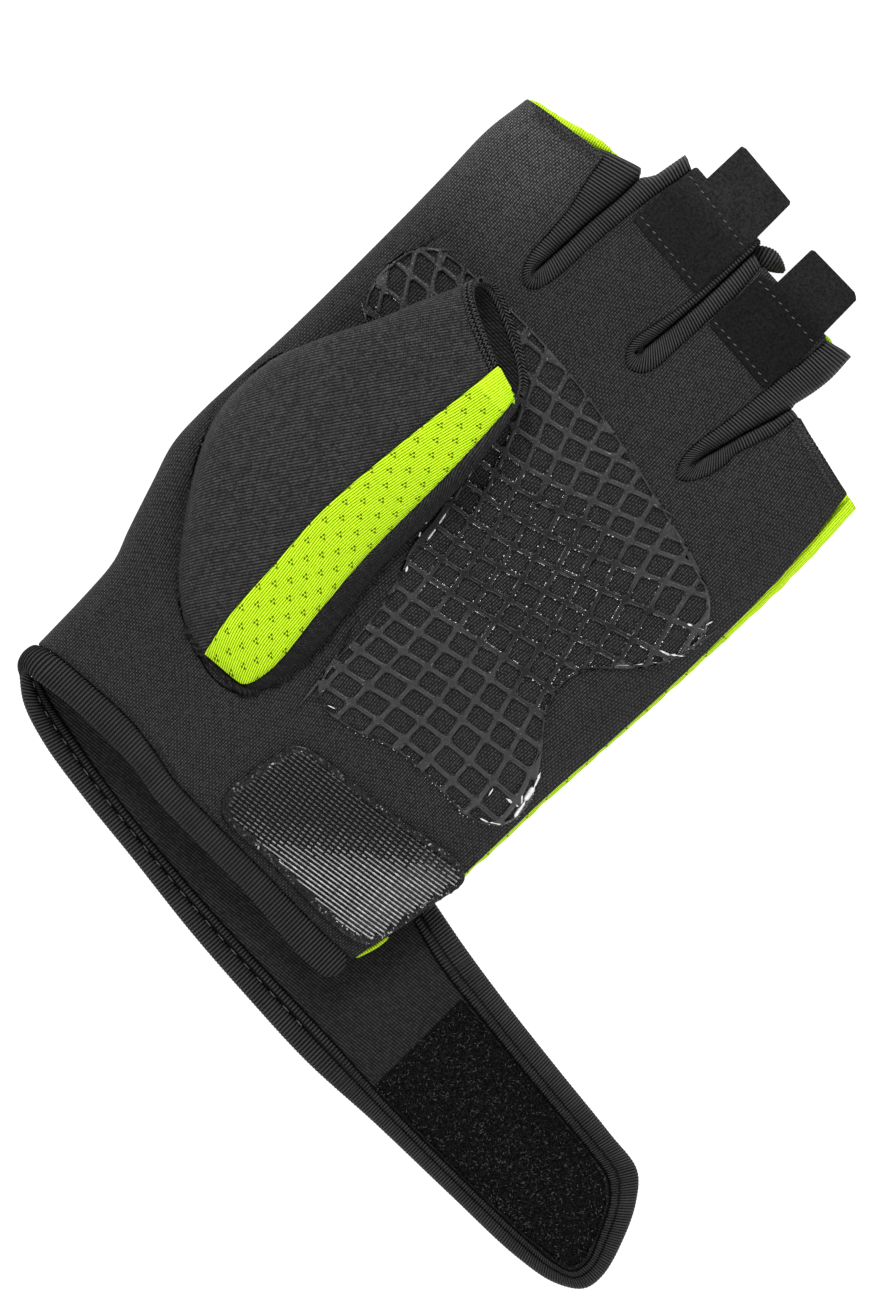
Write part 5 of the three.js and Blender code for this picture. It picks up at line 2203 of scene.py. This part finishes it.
# Columns: y, left, right, low and high of the thumb's sleeve
THUMB: Rows = [
    (-37.6, -19.5, -9, 7, 11.6), (-35, -25.5, -6.4, 6.5, 13.9), (-31, -31.2, -4.6, 5, 16.2),
    (-25, -36.6, -3.6, 3, 18.6), (-17, -42.4, -3.6, 1, 20.8), (-8, -47.6, -4.8, -1, 22.8),
    (0, -50.2, -5.8, -2, 24), (8, -50.4, -6, -2, 24.8), (14, -49.6, -6, 2, 25.2),
    (20, -47.2, -6.2, 9, 25.5), (26, -44.4, -6.8, 13.8, 25.7), (34, -40.4, -7.9, 13.8, 25.8),
    (42, -37.2, -9.6, 13.6, 25.8), (50, -33.6, -11.4, 13.3, 25.6), (60, -29.6, -12.6, 13, 25),
]

# Columns: y, left and right edge of the thumb's neon stripe
STRIPE: Rows = [
    (-36.6, -18.5, -8.4), (-28, -20.2, -7.2), (-15, -21, -8.5), (0, -21.8, -9.7), (20, -20.2, -9.7),
    (36, -18.3, -10.3), (52, -16.8, -12.3),
]


@dataclass
class Thumb:
    """The thumb: its twill sleeve, the neon stripe down it and the hem of its opening."""

    mouth_point: Vector = Vector((-22.4, 45.9, 25.3))
    mouth_normal: Vector = Vector((0.43, 1, 0.44)).normalized()
    mouth_between: Pair = (20, 66)
    base_y: float = -37.4
    around: int = 110
    rows: int = 112
    wall: float = 1
    # How far round the sleeve runs under the stripe, how deep it lies there, and how wide it is laid out
    tucked: float = 0.06
    sunk: float = 0.85
    girth: float = 92
    sleeve_flat: Pair = (0.105, 0.095)
    # The stripe's wall, its rim, its cells, width, flat size, and where the cloth's map starts
    stripe_wall: float = 0.8
    stripe_rim: float = 0.15
    stripe_cells: tuple[int, int] = (26, 190)
    stripe_width: float = 12
    # How far it puffs up, and how near its edges it has done so
    puff: float = 0.33
    puffed: float = 1.3
    stripe_flat: Pair = (0.0135, 0.084)
    map_start: float = -15
    stitch: float = 0.85
    # The far side's cords: from and to which half turn, how far past the edge, how far out, and their lean
    cords: Rows = ((1, 2.04, -0.75, -0.9, 0.8), (0.99, 2.05, 0.4, -0.5, -0.8))
    # The half sizes of the cords' and the near edge's beads, and of the stitches round the cords
    cord: Triple = (0.6, 0.5, 0.55)
    near_edge: Triple = (1.2, 0.08, 0.5)
    loop: Triple = (0.24, 0.66, 0.85)
    lanes: Pair = (0.3, 1.3)
    fine_turns: int = 400
    # The rest of the base's seam, past the sleeve's left side
    base_seam: Rows = ((-19.6, -37.4), (-14, -38.6), (-9, -37.6), (-6.4, -35))
    # Stitches longer than their pitch, so that they run into a dark line of painted shadow
    base_thread: Thread = Thread(1.35, 1.2, 0.5, 0.5)

    def __post_init__(self) -> None:
        """Makes the smooth functions of the thumb's tables."""
        self.sides = [Follow(THUMB, 0, column) for column in range(1, 5)]
        self.stripe_sides = [Follow(STRIPE, 0, column) for column in (1, 2)]
        self._mouth: dict[float, float] = {}

    def section(self, y: float, turn: float) -> Vector:
        """Reads the sleeve's form.

        Args:
            y: the place along the thumb.
            turn: the turn round it, counted from its right side over the top.

        Returns:
            The sleeve's point.
        """
        left, right, low, high = (side(y) for side in self.sides)
        power = 2 / THUMB_ROUNDNESS
        cosine, sine = math.cos(turn), math.sin(turn)
        x = (left + right) / 2 + (right - left) / 2 * math.copysign(abs(cosine) ** power, cosine)
        z = (low + high) / 2 + (high - low) / 2 * math.copysign(abs(sine) ** power, sine)
        return Vector((x, y, z + 0.25 * swell(x, y, 12, 8) * max(0, sine)))

    def turn_at(self, y: float, x: float) -> float:
        """Finds where the sleeve's upper half passes over x.

        Args:
            y: the place along the thumb.
            x: the place across it.

        Returns:
            The turn.
        """
        left, right = self.sides[0](y), self.sides[1](y)
        across = clamp((2 * x - left - right) / (right - left), -1, 1)
        return math.acos(math.copysign(abs(across) ** (THUMB_ROUNDNESS / 2), across))

    def mouth(self, turn: float) -> float:
        """Finds where the opening cuts the sleeve.

        Args:
            turn: the turn round the sleeve.

        Returns:
            The y of the cut.
        """
        key = round(turn, 3)
        if key not in self._mouth:
            low, high = self.mouth_between
            for _ in range(20):
                middle = (low + high) / 2
                if (self.section(middle, key) - self.mouth_point).dot(self.mouth_normal) > 0:
                    high = middle
                else:
                    low = middle
            self._mouth[key] = low
        return self._mouth[key]

    def edges(self, y: float) -> Pair:
        """The turns of the stripe's right and left edges at y."""
        left, right = (side(y) for side in self.stripe_sides)
        return self.turn_at(y, right), self.turn_at(y, left)

    def resting(self, point: Vector, lift: float = 0.15) -> Vector:
        """A point lifted on to the palm where it would lie inside it."""
        return Vector((point.x, point.y, max(point.z, HAND.top(point.x, point.y) + lift)))

    def station(self, share: float, along: float, whole: bool) -> Pair:
        """The y and turn of a grid place on the sleeve or, if not whole, on the stripe.

        Args:
            share: the share of the way round, from the stripe's left edge.
            along: the share of the way from the base to the opening.
            whole: whether the way goes round the sleeve, or over the stripe.

        Returns:
            The y and the turn.
        """
        y = blend(self.base_y, 46, along)
        turn = 0
        for _ in range(3):
            right, left = self.edges(y)
            if whole:
                left, right = left - self.tucked, right + 2 * math.pi + self.tucked
            turn = blend(left, right, share)
            y = blend(self.base_y, self.mouth(turn), along)
        return y, turn

    def outward(self, y: float, turn: float) -> Vector:
        """The direction out of the sleeve."""
        round_it = self.section(y, turn + 0.01) - self.section(y, turn - 0.01)
        return (self.section(y + 0.2, turn) - self.section(y - 0.2, turn)).cross(round_it).normalized()

    def build(self) -> None:
        """Makes the sleeve, the stripe, the hem and the seam at the base."""
        self.build_sleeve()
        self.build_stripe()
        self.build_hem()
        self.sew_base()

    def build_sleeve(self) -> None:
        """The twill sleeve, ribbed inside, where it is painted darker as the shade within the sleeve."""
        sheet = flat_cells(self.around, self.rows, 1, 1)

        def place(share: float, along: float) -> Vector:
            """Places a point of the sleeve.

            Args:
                share: the share round it.
                along: the share along it.

            Returns:
                The point.
            """
            y, turn = self.station(share, along, True)
            inward = self.sunk * (1 - smoothstep(min(share, 1 - share) * self.girth, 0.2, 2))
            return self.resting(self.section(y, turn) - self.outward(y, turn) * inward)

        lay(sheet, place)
        size = FlatSize(*self.sleeve_flat, self.measure(sheet, self.around))
        bmesh.ops.reverse_faces(sheet, faces=sheet.faces)
        piece = SHOP.put("thumb_cloth", sheet, "thumb_twill", "charcoal_twill", "thumb_sleeve", self.wall)
        # The inside's finish, painted darker as the shade within the sleeve
        piece.data.materials.append(SHOP.materials["thumb_inside_shaded"])
        piece.modifiers["wall"].material_offset = 1
        SHOP.declare(piece, size, "palm", "folded")

    def measure(self, sheet: BMesh, around: int) -> float:
        """Gives a laid sheet's map its real lengths round each row.

        Args:
            sheet: the sheet.
            around: how many cells a row has.

        Returns:
            The sheet's area in square metres.
        """
        sheet.verts.ensure_lookup_table()
        lengths: dict[int, float] = {}
        for vert in sheet.verts:
            if vert.index % (around + 1):
                run -= (vert.co - sheet.verts[vert.index - 1].co).length
            else:
                run = vert.co.x - self.map_start
            lengths[vert.index] = run
        layer = sheet.loops.layers.uv[CLOTH_UV]
        for face in sheet.faces:
            for loop in face.loops:
                loop[layer].uv = (lengths[loop.vert.index], loop.vert.co.y)
        return sum(face.calc_area() for face in sheet.faces) * MM * MM

    def build_stripe(self) -> None:
        """The neon mesh stripe, slightly proud of the sleeve, with rounded lower corners."""
        sheet = flat_cells(*self.stripe_cells, 1, 1)

        def place(share: float, length: float) -> Vector:
            """Places a point of the stripe.

            Args:
                share: the share across it.
                length: the distance along it.

            Returns:
                The point.
            """
            y, turn = self.station(share, length, False)
            low = self.base_y + 1.2 * share + 2.2 * max(0, (share - 0.7) / 0.3) ** 3
            x = self.section(y, turn).x
            left, right = (side(y) for side in self.stripe_sides)
            high = 1.9 * (1 - smoothstep(right - x, 0, 2.6)) + 0.6 * (1 - smoothstep(x - left, 0, 1.5))
            y = clamp(y, low + 0.9, self.mouth(turn) + 0.3 - high)
            right, left = self.edges(y)
            turn = blend(left, right, share)
            edge = min(share, 1 - share) * self.stripe_width
            uneven = 0.12 * swell(y, share * self.stripe_width, 5, 6)
            puff = 0.02 + self.puff * smoothstep(edge, 0, self.puffed) + uneven
            end = smoothstep(y, self.base_y + 1, self.base_y + 3)
            return self.resting(self.section(y, turn) + self.outward(y, turn) * (puff * end + 0.05), 0.3)

        lay(sheet, place)
        size = FlatSize(*self.stripe_flat, self.measure(sheet, self.stripe_cells[0]))
        bmesh.ops.remove_doubles(sheet, verts=sheet.verts, dist=1e-4)
        walls = (self.stripe_wall, self.stripe_rim)
        piece = SHOP.put("thumb_neon", sheet, "neon_mesh", "neon_mesh", "thumb_stripe", *walls)
        SHOP.declare(piece, size, "thumb_cloth", "folded")

    def rim(self, turn: float, back: float, out: float) -> tuple[Vector, Vector, Vector]:
        """A point by the opening's edge, the way along the edge and the way out of the sleeve.

        Args:
            turn: the turn round the sleeve.
            back: how far the point lies from the edge, past it if positive.
            out: how far it lies out of the sleeve.

        Returns:
            The point and the two directions.
        """
        y = self.mouth(turn) + back
        out_way = self.outward(y, turn)
        following = self.section(self.mouth(turn + 0.03) + back, turn + 0.03)
        spot = self.section(y, turn)
        return self.resting(spot + out_way * out, 0.3), (following - spot).normalized(), out_way

    def even_turns(self, first: float, last: float) -> tuple[list[float], float]:
        """Turns that lie one stitch apart along the opening's edge.

        Args:
            first: the first turn.
            last: the last turn.

        Returns:
            The turns and the length of edge between the first and the last.
        """
        count = self.fine_turns
        fine = [blend(first, last, i / count) for i in range(count + 1)]
        runs = Route([self.rim(turn, 0, 0)[0] for turn in fine]).marks
        places = [i * self.stitch for i in range(int(runs[-1] / self.stitch) + 1)]
        return [fine[min(bisect_left(runs, place), count)] for place in places], runs[-1]

    def build_hem(self) -> None:
        """The opening's overlock: two rows of slanted stitches on its far side, chevrons near."""
        edge, loops = Repeats(bead(8, 4)), Repeats()
        for first, last, back, out, lean in self.cords:
            for turn in self.even_turns(first * math.pi, last * math.pi)[0]:
                spot, along, out_way = self.rim(turn, back, out)
                edge.add(spot, along, out_way, self.cord)
                loops.add(spot, along + out_way.cross(along) * lean, out_way, self.loop)
        _, start = self.edges(self.mouth(math.pi / 2) - 1)
        turns, around = self.even_turns(start + 0.05, math.pi * 1.02)
        for turn in turns:
            edge.add(*self.rim(turn, -1.3, 0.03), self.near_edge)

        def point(along: float, away: float) -> Vector:
            """Finds the sleeve's point by its opening.

            Args:
                along: the distance round the opening.
                away: the distance back from it.

            Returns:
                The point.
            """
            place = clamp(along / around, 0, 1) * (len(turns) - 1)
            k = min(int(place), len(turns) - 2)
            return self.rim(blend(turns[k], turns[k + 1], place - k), -away, 0.12)[0]

        sew_zigzag(loops, around, self.stitch, self.lanes, point)
        SHOP.put("thumb_hem_edge", edge.mesh(), "pile", "ribbed_binding", "thumb_hem")
        SHOP.put("thumb_overlock", loops.mesh(), "hem_thread", "ribbed_binding")

    def sew_base(self) -> None:
        """The dark seam that joins the sleeve's left side and base to the palm, its stitches run together
        into a line of painted shadow in the crease.
        """
        line = [(self.sides[0](y) - 0.4, y) for y in range(16, -36, -2)]
        stitches = Repeats()
        route = Route(smooth_line(plan([*line, *self.base_seam]), 120))
        self.base_thread.sew(stitches, route, lambda x, y: HAND.on_top(x, y, 0.1))
        SHOP.put("thumb_base_seam_shadow", stitches.mesh(), "pile", "charcoal_twill")


# Columns: outer x and y, inner x and y of the strap's binding, from the index side to the tip and back
STRAP_EDGE: Rows = [
    (-42.2, -64.6, -38.2, -63.4), (-37, -68.5, -33.5, -64.9), (-28.5, -71.3, -27, -66.2),
    (-15, -73.4, -14.5, -68.4), (0, -75, 0.5, -70.2), (18, -77.1, 18.5, -71.6), (35, -78.3, 35, -72.3),
    (52, -79, 52, -72.8), (70, -78.1, 70, -73.7), (90, -77.6, 90, -73.8), (108, -77, 107, -73.3),
    (117, -75.3, 114.5, -72.6), (121.9, -72, 118, -71.2), (122.7, -67.6, 118.8, -67.8),
    (120.4, -59.4, 116.5, -61.9), (117, -52.6, 113.4, -56.2), (112.8, -48.2, 109.8, -53.2),
    (104, -46.9, 103, -52), (88, -45.2, 88, -50.6), (72, -43.3, 72, -48.8), (58, -41.2, 57, -46.9),
    (47.5, -39.2, 47.5, -44.5),
]


@dataclass
class Binding:
    """The strap's ribbed binding: a wide ribbed roll with a corded inner edge, and stitches between."""

    # Its first line is the outer edge, its second the inner
    route: Route
    # The section: share from its inner to its outer edge, height over the strap's underside
    section: Rows = (
        (0, 0.9), (0.02, 2), (0.08, 2.75), (0.17, 2.9), (0.25, 2.5), (0.31, 1.2), (0.37, 1.6), (0.45, 2.6),
        (0.57, 2.95), (0.71, 2.8), (0.86, 2.3), (0.97, 1.5), (1, 0.9), (0.97, 0.4), (0.85, 0.12),
        (0.5, 0.1), (0.1, 0.15), (0, 0.4),
    )
    width: float = 5
    # The pale stitches, and the dark line of painted shade along the inner edge: threads, shares, heights and
    # last x
    thread: Thread = Thread(1.9, 3.8, 0.3, 0.4)
    stitched: Triple = (0.325, 2, 47)
    crease: Thread = Thread(1.3, 1, 0.5, 0.6)
    shade_line: Triple = (-0.04, 1.95, 200)
    # From and to where, along the strap, the groove beside the cord grows shallow
    shallow: Pair = (42, 56)
    pitch: float = 0.73
    rib: float = 0.26
    steps: int = 5
    around: int = 28
    # From and to where, along the strap, the ribs grow faint, and by how much
    faint: Pair = (50, 70)
    fainter: float = 0.2
    # How strong the ribs are by the share of the way from the inner to the outer edge
    relief: Rows = ((-0.1, 1.7), (0.25, 1.7), (0.33, 1.2), (0.5, 1.2), (0.8, 0.8), (1.1, 0.5))

    def station(self, distance: float) -> tuple[Vector, Vector, float]:
        """The outer and inner edge at a distance along, and the height of the strap's underside."""
        outer, inner = self.route.at(distance)
        return outer, inner, HAND.underside(max(inner.lerp(outer, 0.5).x, STRAP_CURL_X), STRAP_CURL_Y)

    def build(self) -> None:
        """Makes the roll, its stitches and its dark line of painted shade."""
        count = round(self.route.length / self.pitch)
        profile = smooth_line(plan(self.section), self.around, True)
        low = min(point.y for point in profile)
        stretched = [Vector((point.x * self.width, point.y, 0)) for point in profile]
        middle = sum(stretched, Vector()) / len(stretched)
        ways = [after - before for before, after in zip(stretched, moved(stretched, -1, True))]
        for way, point in zip(ways, stretched):
            if way.dot(point - middle) < 0:
                way.negate()
        station = cache(lambda along: self.station(along * self.route.length))

        def place(along: float, around: float) -> Vector:
            """Places a point of the roll.

            Args:
                along: the share along it.
                around: the share round its section.

            Returns:
                The point.
            """
            outer, inner, low_z = station(along)
            k = round(around * self.around) % self.around
            spot, away = profile[k], ways[k]
            jitter = 0.14 * swell(along * self.route.length, 0, 2.6, 3)
            rise = self.rib * (ridge(along * count + jitter) - RIDGE_MIDDLE)
            rise *= smoothstep(spot.y, low + 0.3, low + 1) * straight(self.relief, spot.x)
            rise *= 1 - self.fainter * smoothstep(outer.x, *self.faint)
            point = inner.lerp(outer, spot.x + away.x * rise / self.width)
            shallow = smoothstep(outer.x, *self.shallow) if spot.y > 1 else 0
            groove = 1 - smoothstep(abs(spot.x - self.stitched[0]), 0.05, 0.13)
            point.z = low_z + spot.y + away.y * rise + shallow * groove
            return point

        mesh = tube(count * self.steps, self.around, place, (count * self.pitch, ROLL_GIRTH))
        SHOP.put("strap_roll", mesh, "binding_rib", "ribbed_binding", "strap_binding")
        stitches, crease = self.sewn(self.thread, *self.stitched), self.sewn(self.crease, *self.shade_line)
        SHOP.put("strap_roll_stitches", stitches.mesh(), "pale_thread", "ribbed_binding")
        # A dark line of painted shade along the roll's inner edge
        SHOP.put("strap_roll_shade_line", crease.mesh(), "pile", "ribbed_binding")

    def sewn(self, thread: Thread, share: float, height: float, last_x: float) -> Repeats:
        """A row of stitches along the roll.

        Args:
            thread: the stitches.
            share: where they lie, from the inner to the outer edge.
            height: how high they lie over the strap's underside.
            last_x: how far along the strap they go.

        Returns:
            The stitches.
        """
        stitches = Repeats()
        count = int(self.route.length / thread.pitch)
        for i in range(count):
            middle = (i + 0.5) * self.route.length / count
            ends = []
            for way in (-0.5, 0.5):
                outer, inner, low_z = self.station(middle + way * thread.length)
                ends.append(inner.lerp(outer, share) + UP * (low_z + height))
            if ends[0].x < last_x:
                stitches.span(*ends, UP, thread.width / 2, thread.height / 2)
        return stitches


@dataclass
class Strap:
    """The wrist band's inner face, the strap that it runs on as, its binding and its loop pile."""

    pitch: float = 1
    wall: float = 1.3
    rim: float = 0.3
    # The cloth's flat corners, its upper edge, where that edge leaves the glove and where it starts
    box: Four = (-43, 121, -78, -38)
    top_y: float = -39.2
    leaves_x: float = 46
    starts_x: float = -41.2
    # How far the cloth runs under its binding
    tucked: float = 0.3

    def place(self, x: float, y: float) -> Vector:
        """The strap's upper face."""
        curl = HAND.underside(max(x, STRAP_CURL_X), STRAP_CURL_Y)
        return Vector((x, y, curl + STRAP_WALL + 0.2 + 0.25 * swell(x, y, 18, 5)))

    def build(self) -> None:
        """Makes the cloth, the binding and the pile."""
        outer, inner = (smooth_line(plan((row[k], row[k + 1]) for row in STRAP_EDGE), 260) for k in (0, 2))
        under = [a.lerp(b, self.tucked) for a, b in zip(inner, outer)]
        outline = Outline([*under, *plan([(self.leaves_x, self.top_y), (self.starts_x, self.top_y)])])
        sheet = flat_grid(*self.box, self.pitch)
        cut(sheet, outline.inside)
        size = flat_size(sheet)
        lay(sheet, self.place)
        walls = (self.wall, self.rim)
        piece = SHOP.put("strap_cloth", sheet, "strap_knit", "charcoal_knit", "wrist_strap", *walls)
        SHOP.declare(piece, size, "back")
        Binding(Route(outer, inner)).build()
        LoopPile().build()


LOOP_OUTLINE: Rows = [
    (64.8, -48.9), (88, -51.2), (103, -52.6), (109.4, -53.9), (113, -57), (115.8, -62.2), (117.9, -67.8),
    (117.2, -70.6), (114, -71.9), (107, -72.6), (90, -73.1), (70, -73), (64.8, -72.8),
]


@dataclass
class LoopPile:
    """The loop pile on the strap's end."""

    pitch: float = 0.45
    wall: float = 0.8
    lift: float = 0.9
    box: Four = (64, 119, -74, -48)
    # The height, size and seed of its tufts, and from and to how far inside its edge it rises
    tufts: Rows = ((0.3, 1.1, 2), (0.2, 0.6, 9))
    edge: Pair = (-0.4, 1)
    # The fibres: how many are tried, the share that are dark, half how thick they are and half how long
    fibres: int = 11000
    dark: float = 0.9
    thick: float = 0.045
    long: Pair = (0.18, 0.42)
    # How far past the pile's edge they may stand
    past: float = 0.3

    def build(self) -> None:
        """Makes the pile's uneven ground and its curled fibres."""
        outline = Outline(plan(LOOP_OUTLINE))
        sheet = flat_grid(*self.box, self.pitch)
        cut(sheet, outline.inside)
        size = flat_size(sheet)

        def place(x: float, y: float) -> Vector:
            """Places a point of the pile, which is tufted, and lower at its edge.

            Args:
                x: the point's x.
                y: its y.

            Returns:
                The point of the upper face.
            """
            height = STRAP_WALL + 0.3 + self.lift * smoothstep(outline.depth(x, y), *self.edge)
            return Vector((x, y, height + unevenness(x, y, self.tufts)))

        lay(sheet, place)
        piece = SHOP.put("loop_pile", sheet, "pile", "loop_pile", "loop_patch", self.wall)
        SHOP.declare(piece, size, "strap_cloth")
        kinds = {name: Repeats(bead(4, 3)) for name in ("pile_dark", "pile_pale")}
        spread = random.Random(7)
        for _ in range(self.fibres):
            x = spread.uniform(outline.low.x, outline.high.x)
            y = spread.uniform(outline.low.y, outline.high.y)
            pick, turn, tilt = spread.random(), spread.uniform(0, 2 * math.pi), spread.uniform(-0.5, 0.9)
            if outline.depth(x, y) < -self.past:
                continue
            sizes = (self.thick, self.thick, spread.uniform(*self.long))
            kind = kinds["pile_pale" if pick > self.dark else "pile_dark"]
            lean = Vector((math.cos(turn), math.sin(turn), tilt))
            kind.add(place(x, y) + UP * 0.12, lean, Vector((0.1, 0, 1)), sizes)
        for name, repeats in kinds.items():
            SHOP.put(name + "_fibres", repeats.mesh(), name, "loop_pile")


@dataclass
class Back:
    """The neon mesh back, which the glove lies on, and the turned edges of it that show past the palm."""

    pitch: float = 1
    wall: float = 1.1
    floor: float = 0.05
    # Where the mesh starts and ends along the glove, its flat width and that of its lip
    wrist_y: float = -38.7
    tips_y: float = 100
    # How far out the gaps' slits are carried past the finger tips, and how much wider they are there
    open_y: float = 140
    slit_room: float = 0.3
    flat: float = 88
    lip_width: float = 6
    lip_steps: int = 24
    # The lip's section, and where along the glove it grows wider
    lip: Rows = ((-4, 0), (-1.6, 0.2), (-0.3, 0.9), (0.05, 1.9), (-0.5, 2.8), (-1.4, 3.15), (-2.4, 3.1))
    wider: Pair = (25, 70)
    # Where the cloth map says that the mesh is hemmed, with no eyelets
    hem_y: float = 60
    # The turned edges past the finger tips and under the wrist, and half how thick each is
    turned: tuple[tuple[str, Rows, float], ...] = (
        ("index_tip_mesh", ((-50.4, 84.6, 6.5), (-44, 85.9, 3.2), (-38, 87.6, 2.8), (-31.6, 89.2, 2.4)), 1.1),
        ("middle_tip_mesh", ((-17.6, 97.9, 4), (-16, 98.2, 4.8), (-14.6, 97.9, 4.8)), 0.6),
        ("middle_side_mesh", ((-0.6, 97.2, 5), (0.8, 96.6, 5), (2, 95.6, 4)), 0.8),
        ("ring_tip_mesh", ((7, 93, 5), (8.8, 93.2, 5.5), (10, 92.8, 5)), 0.7),
        ("ring_side_mesh", ((22.4, 92.6, 5), (24, 92.8, 5), (25.4, 92.6, 4)), 0.8),
        ("wrist_mesh", ((46, -50.2, 5), (45.5, -53.6, 4.6), (44.1, -58, 4.4)), 0.42),
    )

    def build(self) -> None:
        """Makes the mesh with its lip along the pinky side, then its turned edges."""
        sheet = flat_grid(0, self.flat + self.lip_width, self.wrist_y, self.tips_y, self.pitch)
        curve = smooth_line(plan(self.lip), self.lip_steps + 1)
        slits = []
        for gap in GAPS:
            rail = gap.rails()[1]
            ends = [(rail[-1].x + self.slit_room, self.open_y), (rail[0].x - self.slit_room, self.open_y)]
            slits.append(Outline([*rail, *plan(ends)]))

        def place(u: float, y: float) -> Vector:
            """Places a point of the mesh.

            Args:
                u: the distance from its index side.
                y: the point's y.

            Returns:
                The point.
            """
            left, _, side, *_ = HAND.row(y)
            if u <= self.flat:
                return Vector((blend(left + WRAP_WIDTH + 0.6, side - 4, u / self.flat), y, self.floor))
            step = round((u - self.flat) / self.lip_width * self.lip_steps)
            spot = curve[min(self.lip_steps, step)]
            wider = smoothstep(y, *self.wider)
            uneven = 0.22 * swell(spot.x, y, 3, 7) + 0.5 * wider
            return Vector((side + spot.x + uneven, y, spot.y * (1 + 0.22 * wider) + self.floor))

        def inside(point: Vector) -> float:
            """The distance inside the mesh's edge, negative outside."""
            spot = place(point.x, point.y)
            return min(straight(BACK_TIPS, spot.x) - spot.y, *(-slit.inside(spot) for slit in slits))

        cut(sheet, inside)
        size = flat_size(sheet)
        lay(sheet, place)
        piece = SHOP.put("back", sheet, "neon_mesh", "neon_mesh", "back_panel", self.wall, side=1)
        SHOP.declare(piece, size, "palm")
        for name, points, radius in self.turned:
            self.turn_edge(name, Route(smooth_line([Vector(point) for point in points], 60)), radius)

    def turn_edge(self, name: str, route: Route, radius: float) -> None:
        """Makes one turned edge.

        Args:
            name: the piece's name.
            route: its middle line.
            radius: half how thick it is.
        """

        def place(along: float, around: float) -> Vector:
            """Places a point of the turned edge.

            Args:
                along: the share along it.
                around: the share round it.

            Returns:
                The point.
            """
            run = along * route.length
            side = -leftward(route.heading(run)).normalized()
            angle = 2 * math.pi * around
            taper = math.sqrt(max(0, 1 - abs(2 * along - 1) ** 6))
            reach = radius * (1 + 0.2 * swell(run, around * 2, 1.2, 5)) * taper
            return route.at(run)[0] + side * math.cos(angle) * reach + UP * (math.sin(angle) * reach * 1.2)

        mesh = tube(max(12, round(route.length / 0.5)), 12, place, (route.length, 6))
        layer = mesh.loops.layers.uv[CLOTH_UV]
        for face in mesh.faces:
            for loop in face.loops:
                loop[layer].uv.y += self.hem_y
        SHOP.put(name, mesh, "neon_mesh", "neon_mesh")


@dataclass
class Studio:
    """The pale floor, the soft lights and the camera."""

    frame_centre: Pair = (13.17, -4.44)
    frame_height: float = 255.9
    distance: float = 2500
    turn: float = 45
    film: float = 36
    floor_half: float = 3
    floor_drop: float = 0.1
    paper: Colour = (0.25, 0.25, 0.25, 1)
    white: Colour = (1, 1, 1, 1)
    glow: float = 0.95
    # The surround's light by height: bright round the sides, dim overhead, so that gloss stays dark
    bright_to_dim: Pair = (0.8, 0.97)
    light: Pair = (1, 0.3)
    # Each lamp's place in metres, its width and its power, and the spot that they shine at
    lamps: tuple[tuple[Triple, float, float], ...] = (
        ((-0.75, 0.55, 0.95), 0.5, 12), ((0.6, -0.5, 0.9), 0.7, 2.2),
    )
    aim: Vector = Vector((0.015, 0, 0))

    def add(self, name: str, data: bpy.types.ID) -> bpy.types.Object:
        """Puts an object into the scene.

        Args:
            name: the object's name.
            data: its mesh, light or camera.

        Returns:
            The object.
        """
        thing = bpy.data.objects.new(name, data)
        bpy.context.scene.collection.objects.link(thing)
        return thing

    def build(self) -> None:
        """Makes the floor, the lights and the camera."""
        self.build_floor()
        self.build_lights()
        self.build_camera()

    def build_floor(self) -> None:
        """A plain pale floor."""
        mesh = bmesh.new()
        bmesh.ops.create_grid(mesh, x_segments=1, y_segments=1, size=self.floor_half)
        bmesh.ops.translate(mesh, verts=mesh.verts, vec=(0, 0, -self.floor_drop * MM))
        data = bpy.data.meshes.new("floor")
        mesh.to_mesh(data)
        mesh.free()
        paper = bpy.data.materials.new("floor_paper")
        Board(paper).set(
            Base_Color=self.paper, Roughness=0.9, Specular_IOR_Level=0, Emission_Color=self.white,
            Emission_Strength=self.glow,
        )
        data.materials.append(paper)
        self.add("floor", data)

    def build_lights(self) -> None:
        """A soft surround and two wide lamps."""
        world = bpy.data.worlds.new("surround")
        board = Board(world, "Background")
        height = board.wire("SeparateXYZ", {0: board.wire("TexCoord", {}, "Generated")}, 2)
        board.set(Color=self.white, Strength=board.step(height, self.bright_to_dim, self.light))
        bpy.context.scene.world = world
        for i, (place, size, power) in enumerate(self.lamps):
            lamp = bpy.data.lights.new(f"lamp_{i}", "AREA")
            lamp.size = size
            lamp.energy = power
            thing = self.add(lamp.name, lamp)
            thing.location = place
            thing.rotation_euler = (self.aim - Vector(place)).to_track_quat("-Z", "Y").to_euler()

    def build_camera(self) -> None:
        """The camera straight above, turned as the photograph is."""
        lens = bpy.data.cameras.new("camera")
        lens.sensor_fit = "AUTO"
        lens.sensor_width = self.film
        lens.lens = self.film * self.distance / self.frame_height
        camera = self.add("camera", lens)
        camera.location = Vector((*self.frame_centre, self.distance)) * MM
        camera.rotation_euler = (0, 0, math.radians(self.turn))
        bpy.context.scene.camera = camera
        bpy.context.scene.view_settings.view_transform = "Standard"


def main() -> None:
    """Builds the glove's pieces in order, then the studio."""
    logging.basicConfig(level=logging.INFO, format="%(relativeCreated)d ms %(message)s")
    bands = [GapBand(gap, ruffle) for gap, ruffle in zip(GAPS, BAND_RUFFLES)]
    for part in (
        Back(), Palm(), *bands, BandCurl(), *TABS, GripPrint(), HookPatch(), Thumb(), Strap(), WristBinding(),
    ):
        part.build()
    SHOP.say_sheets()
    Studio().build()


if __name__ == "__main__":
    main()
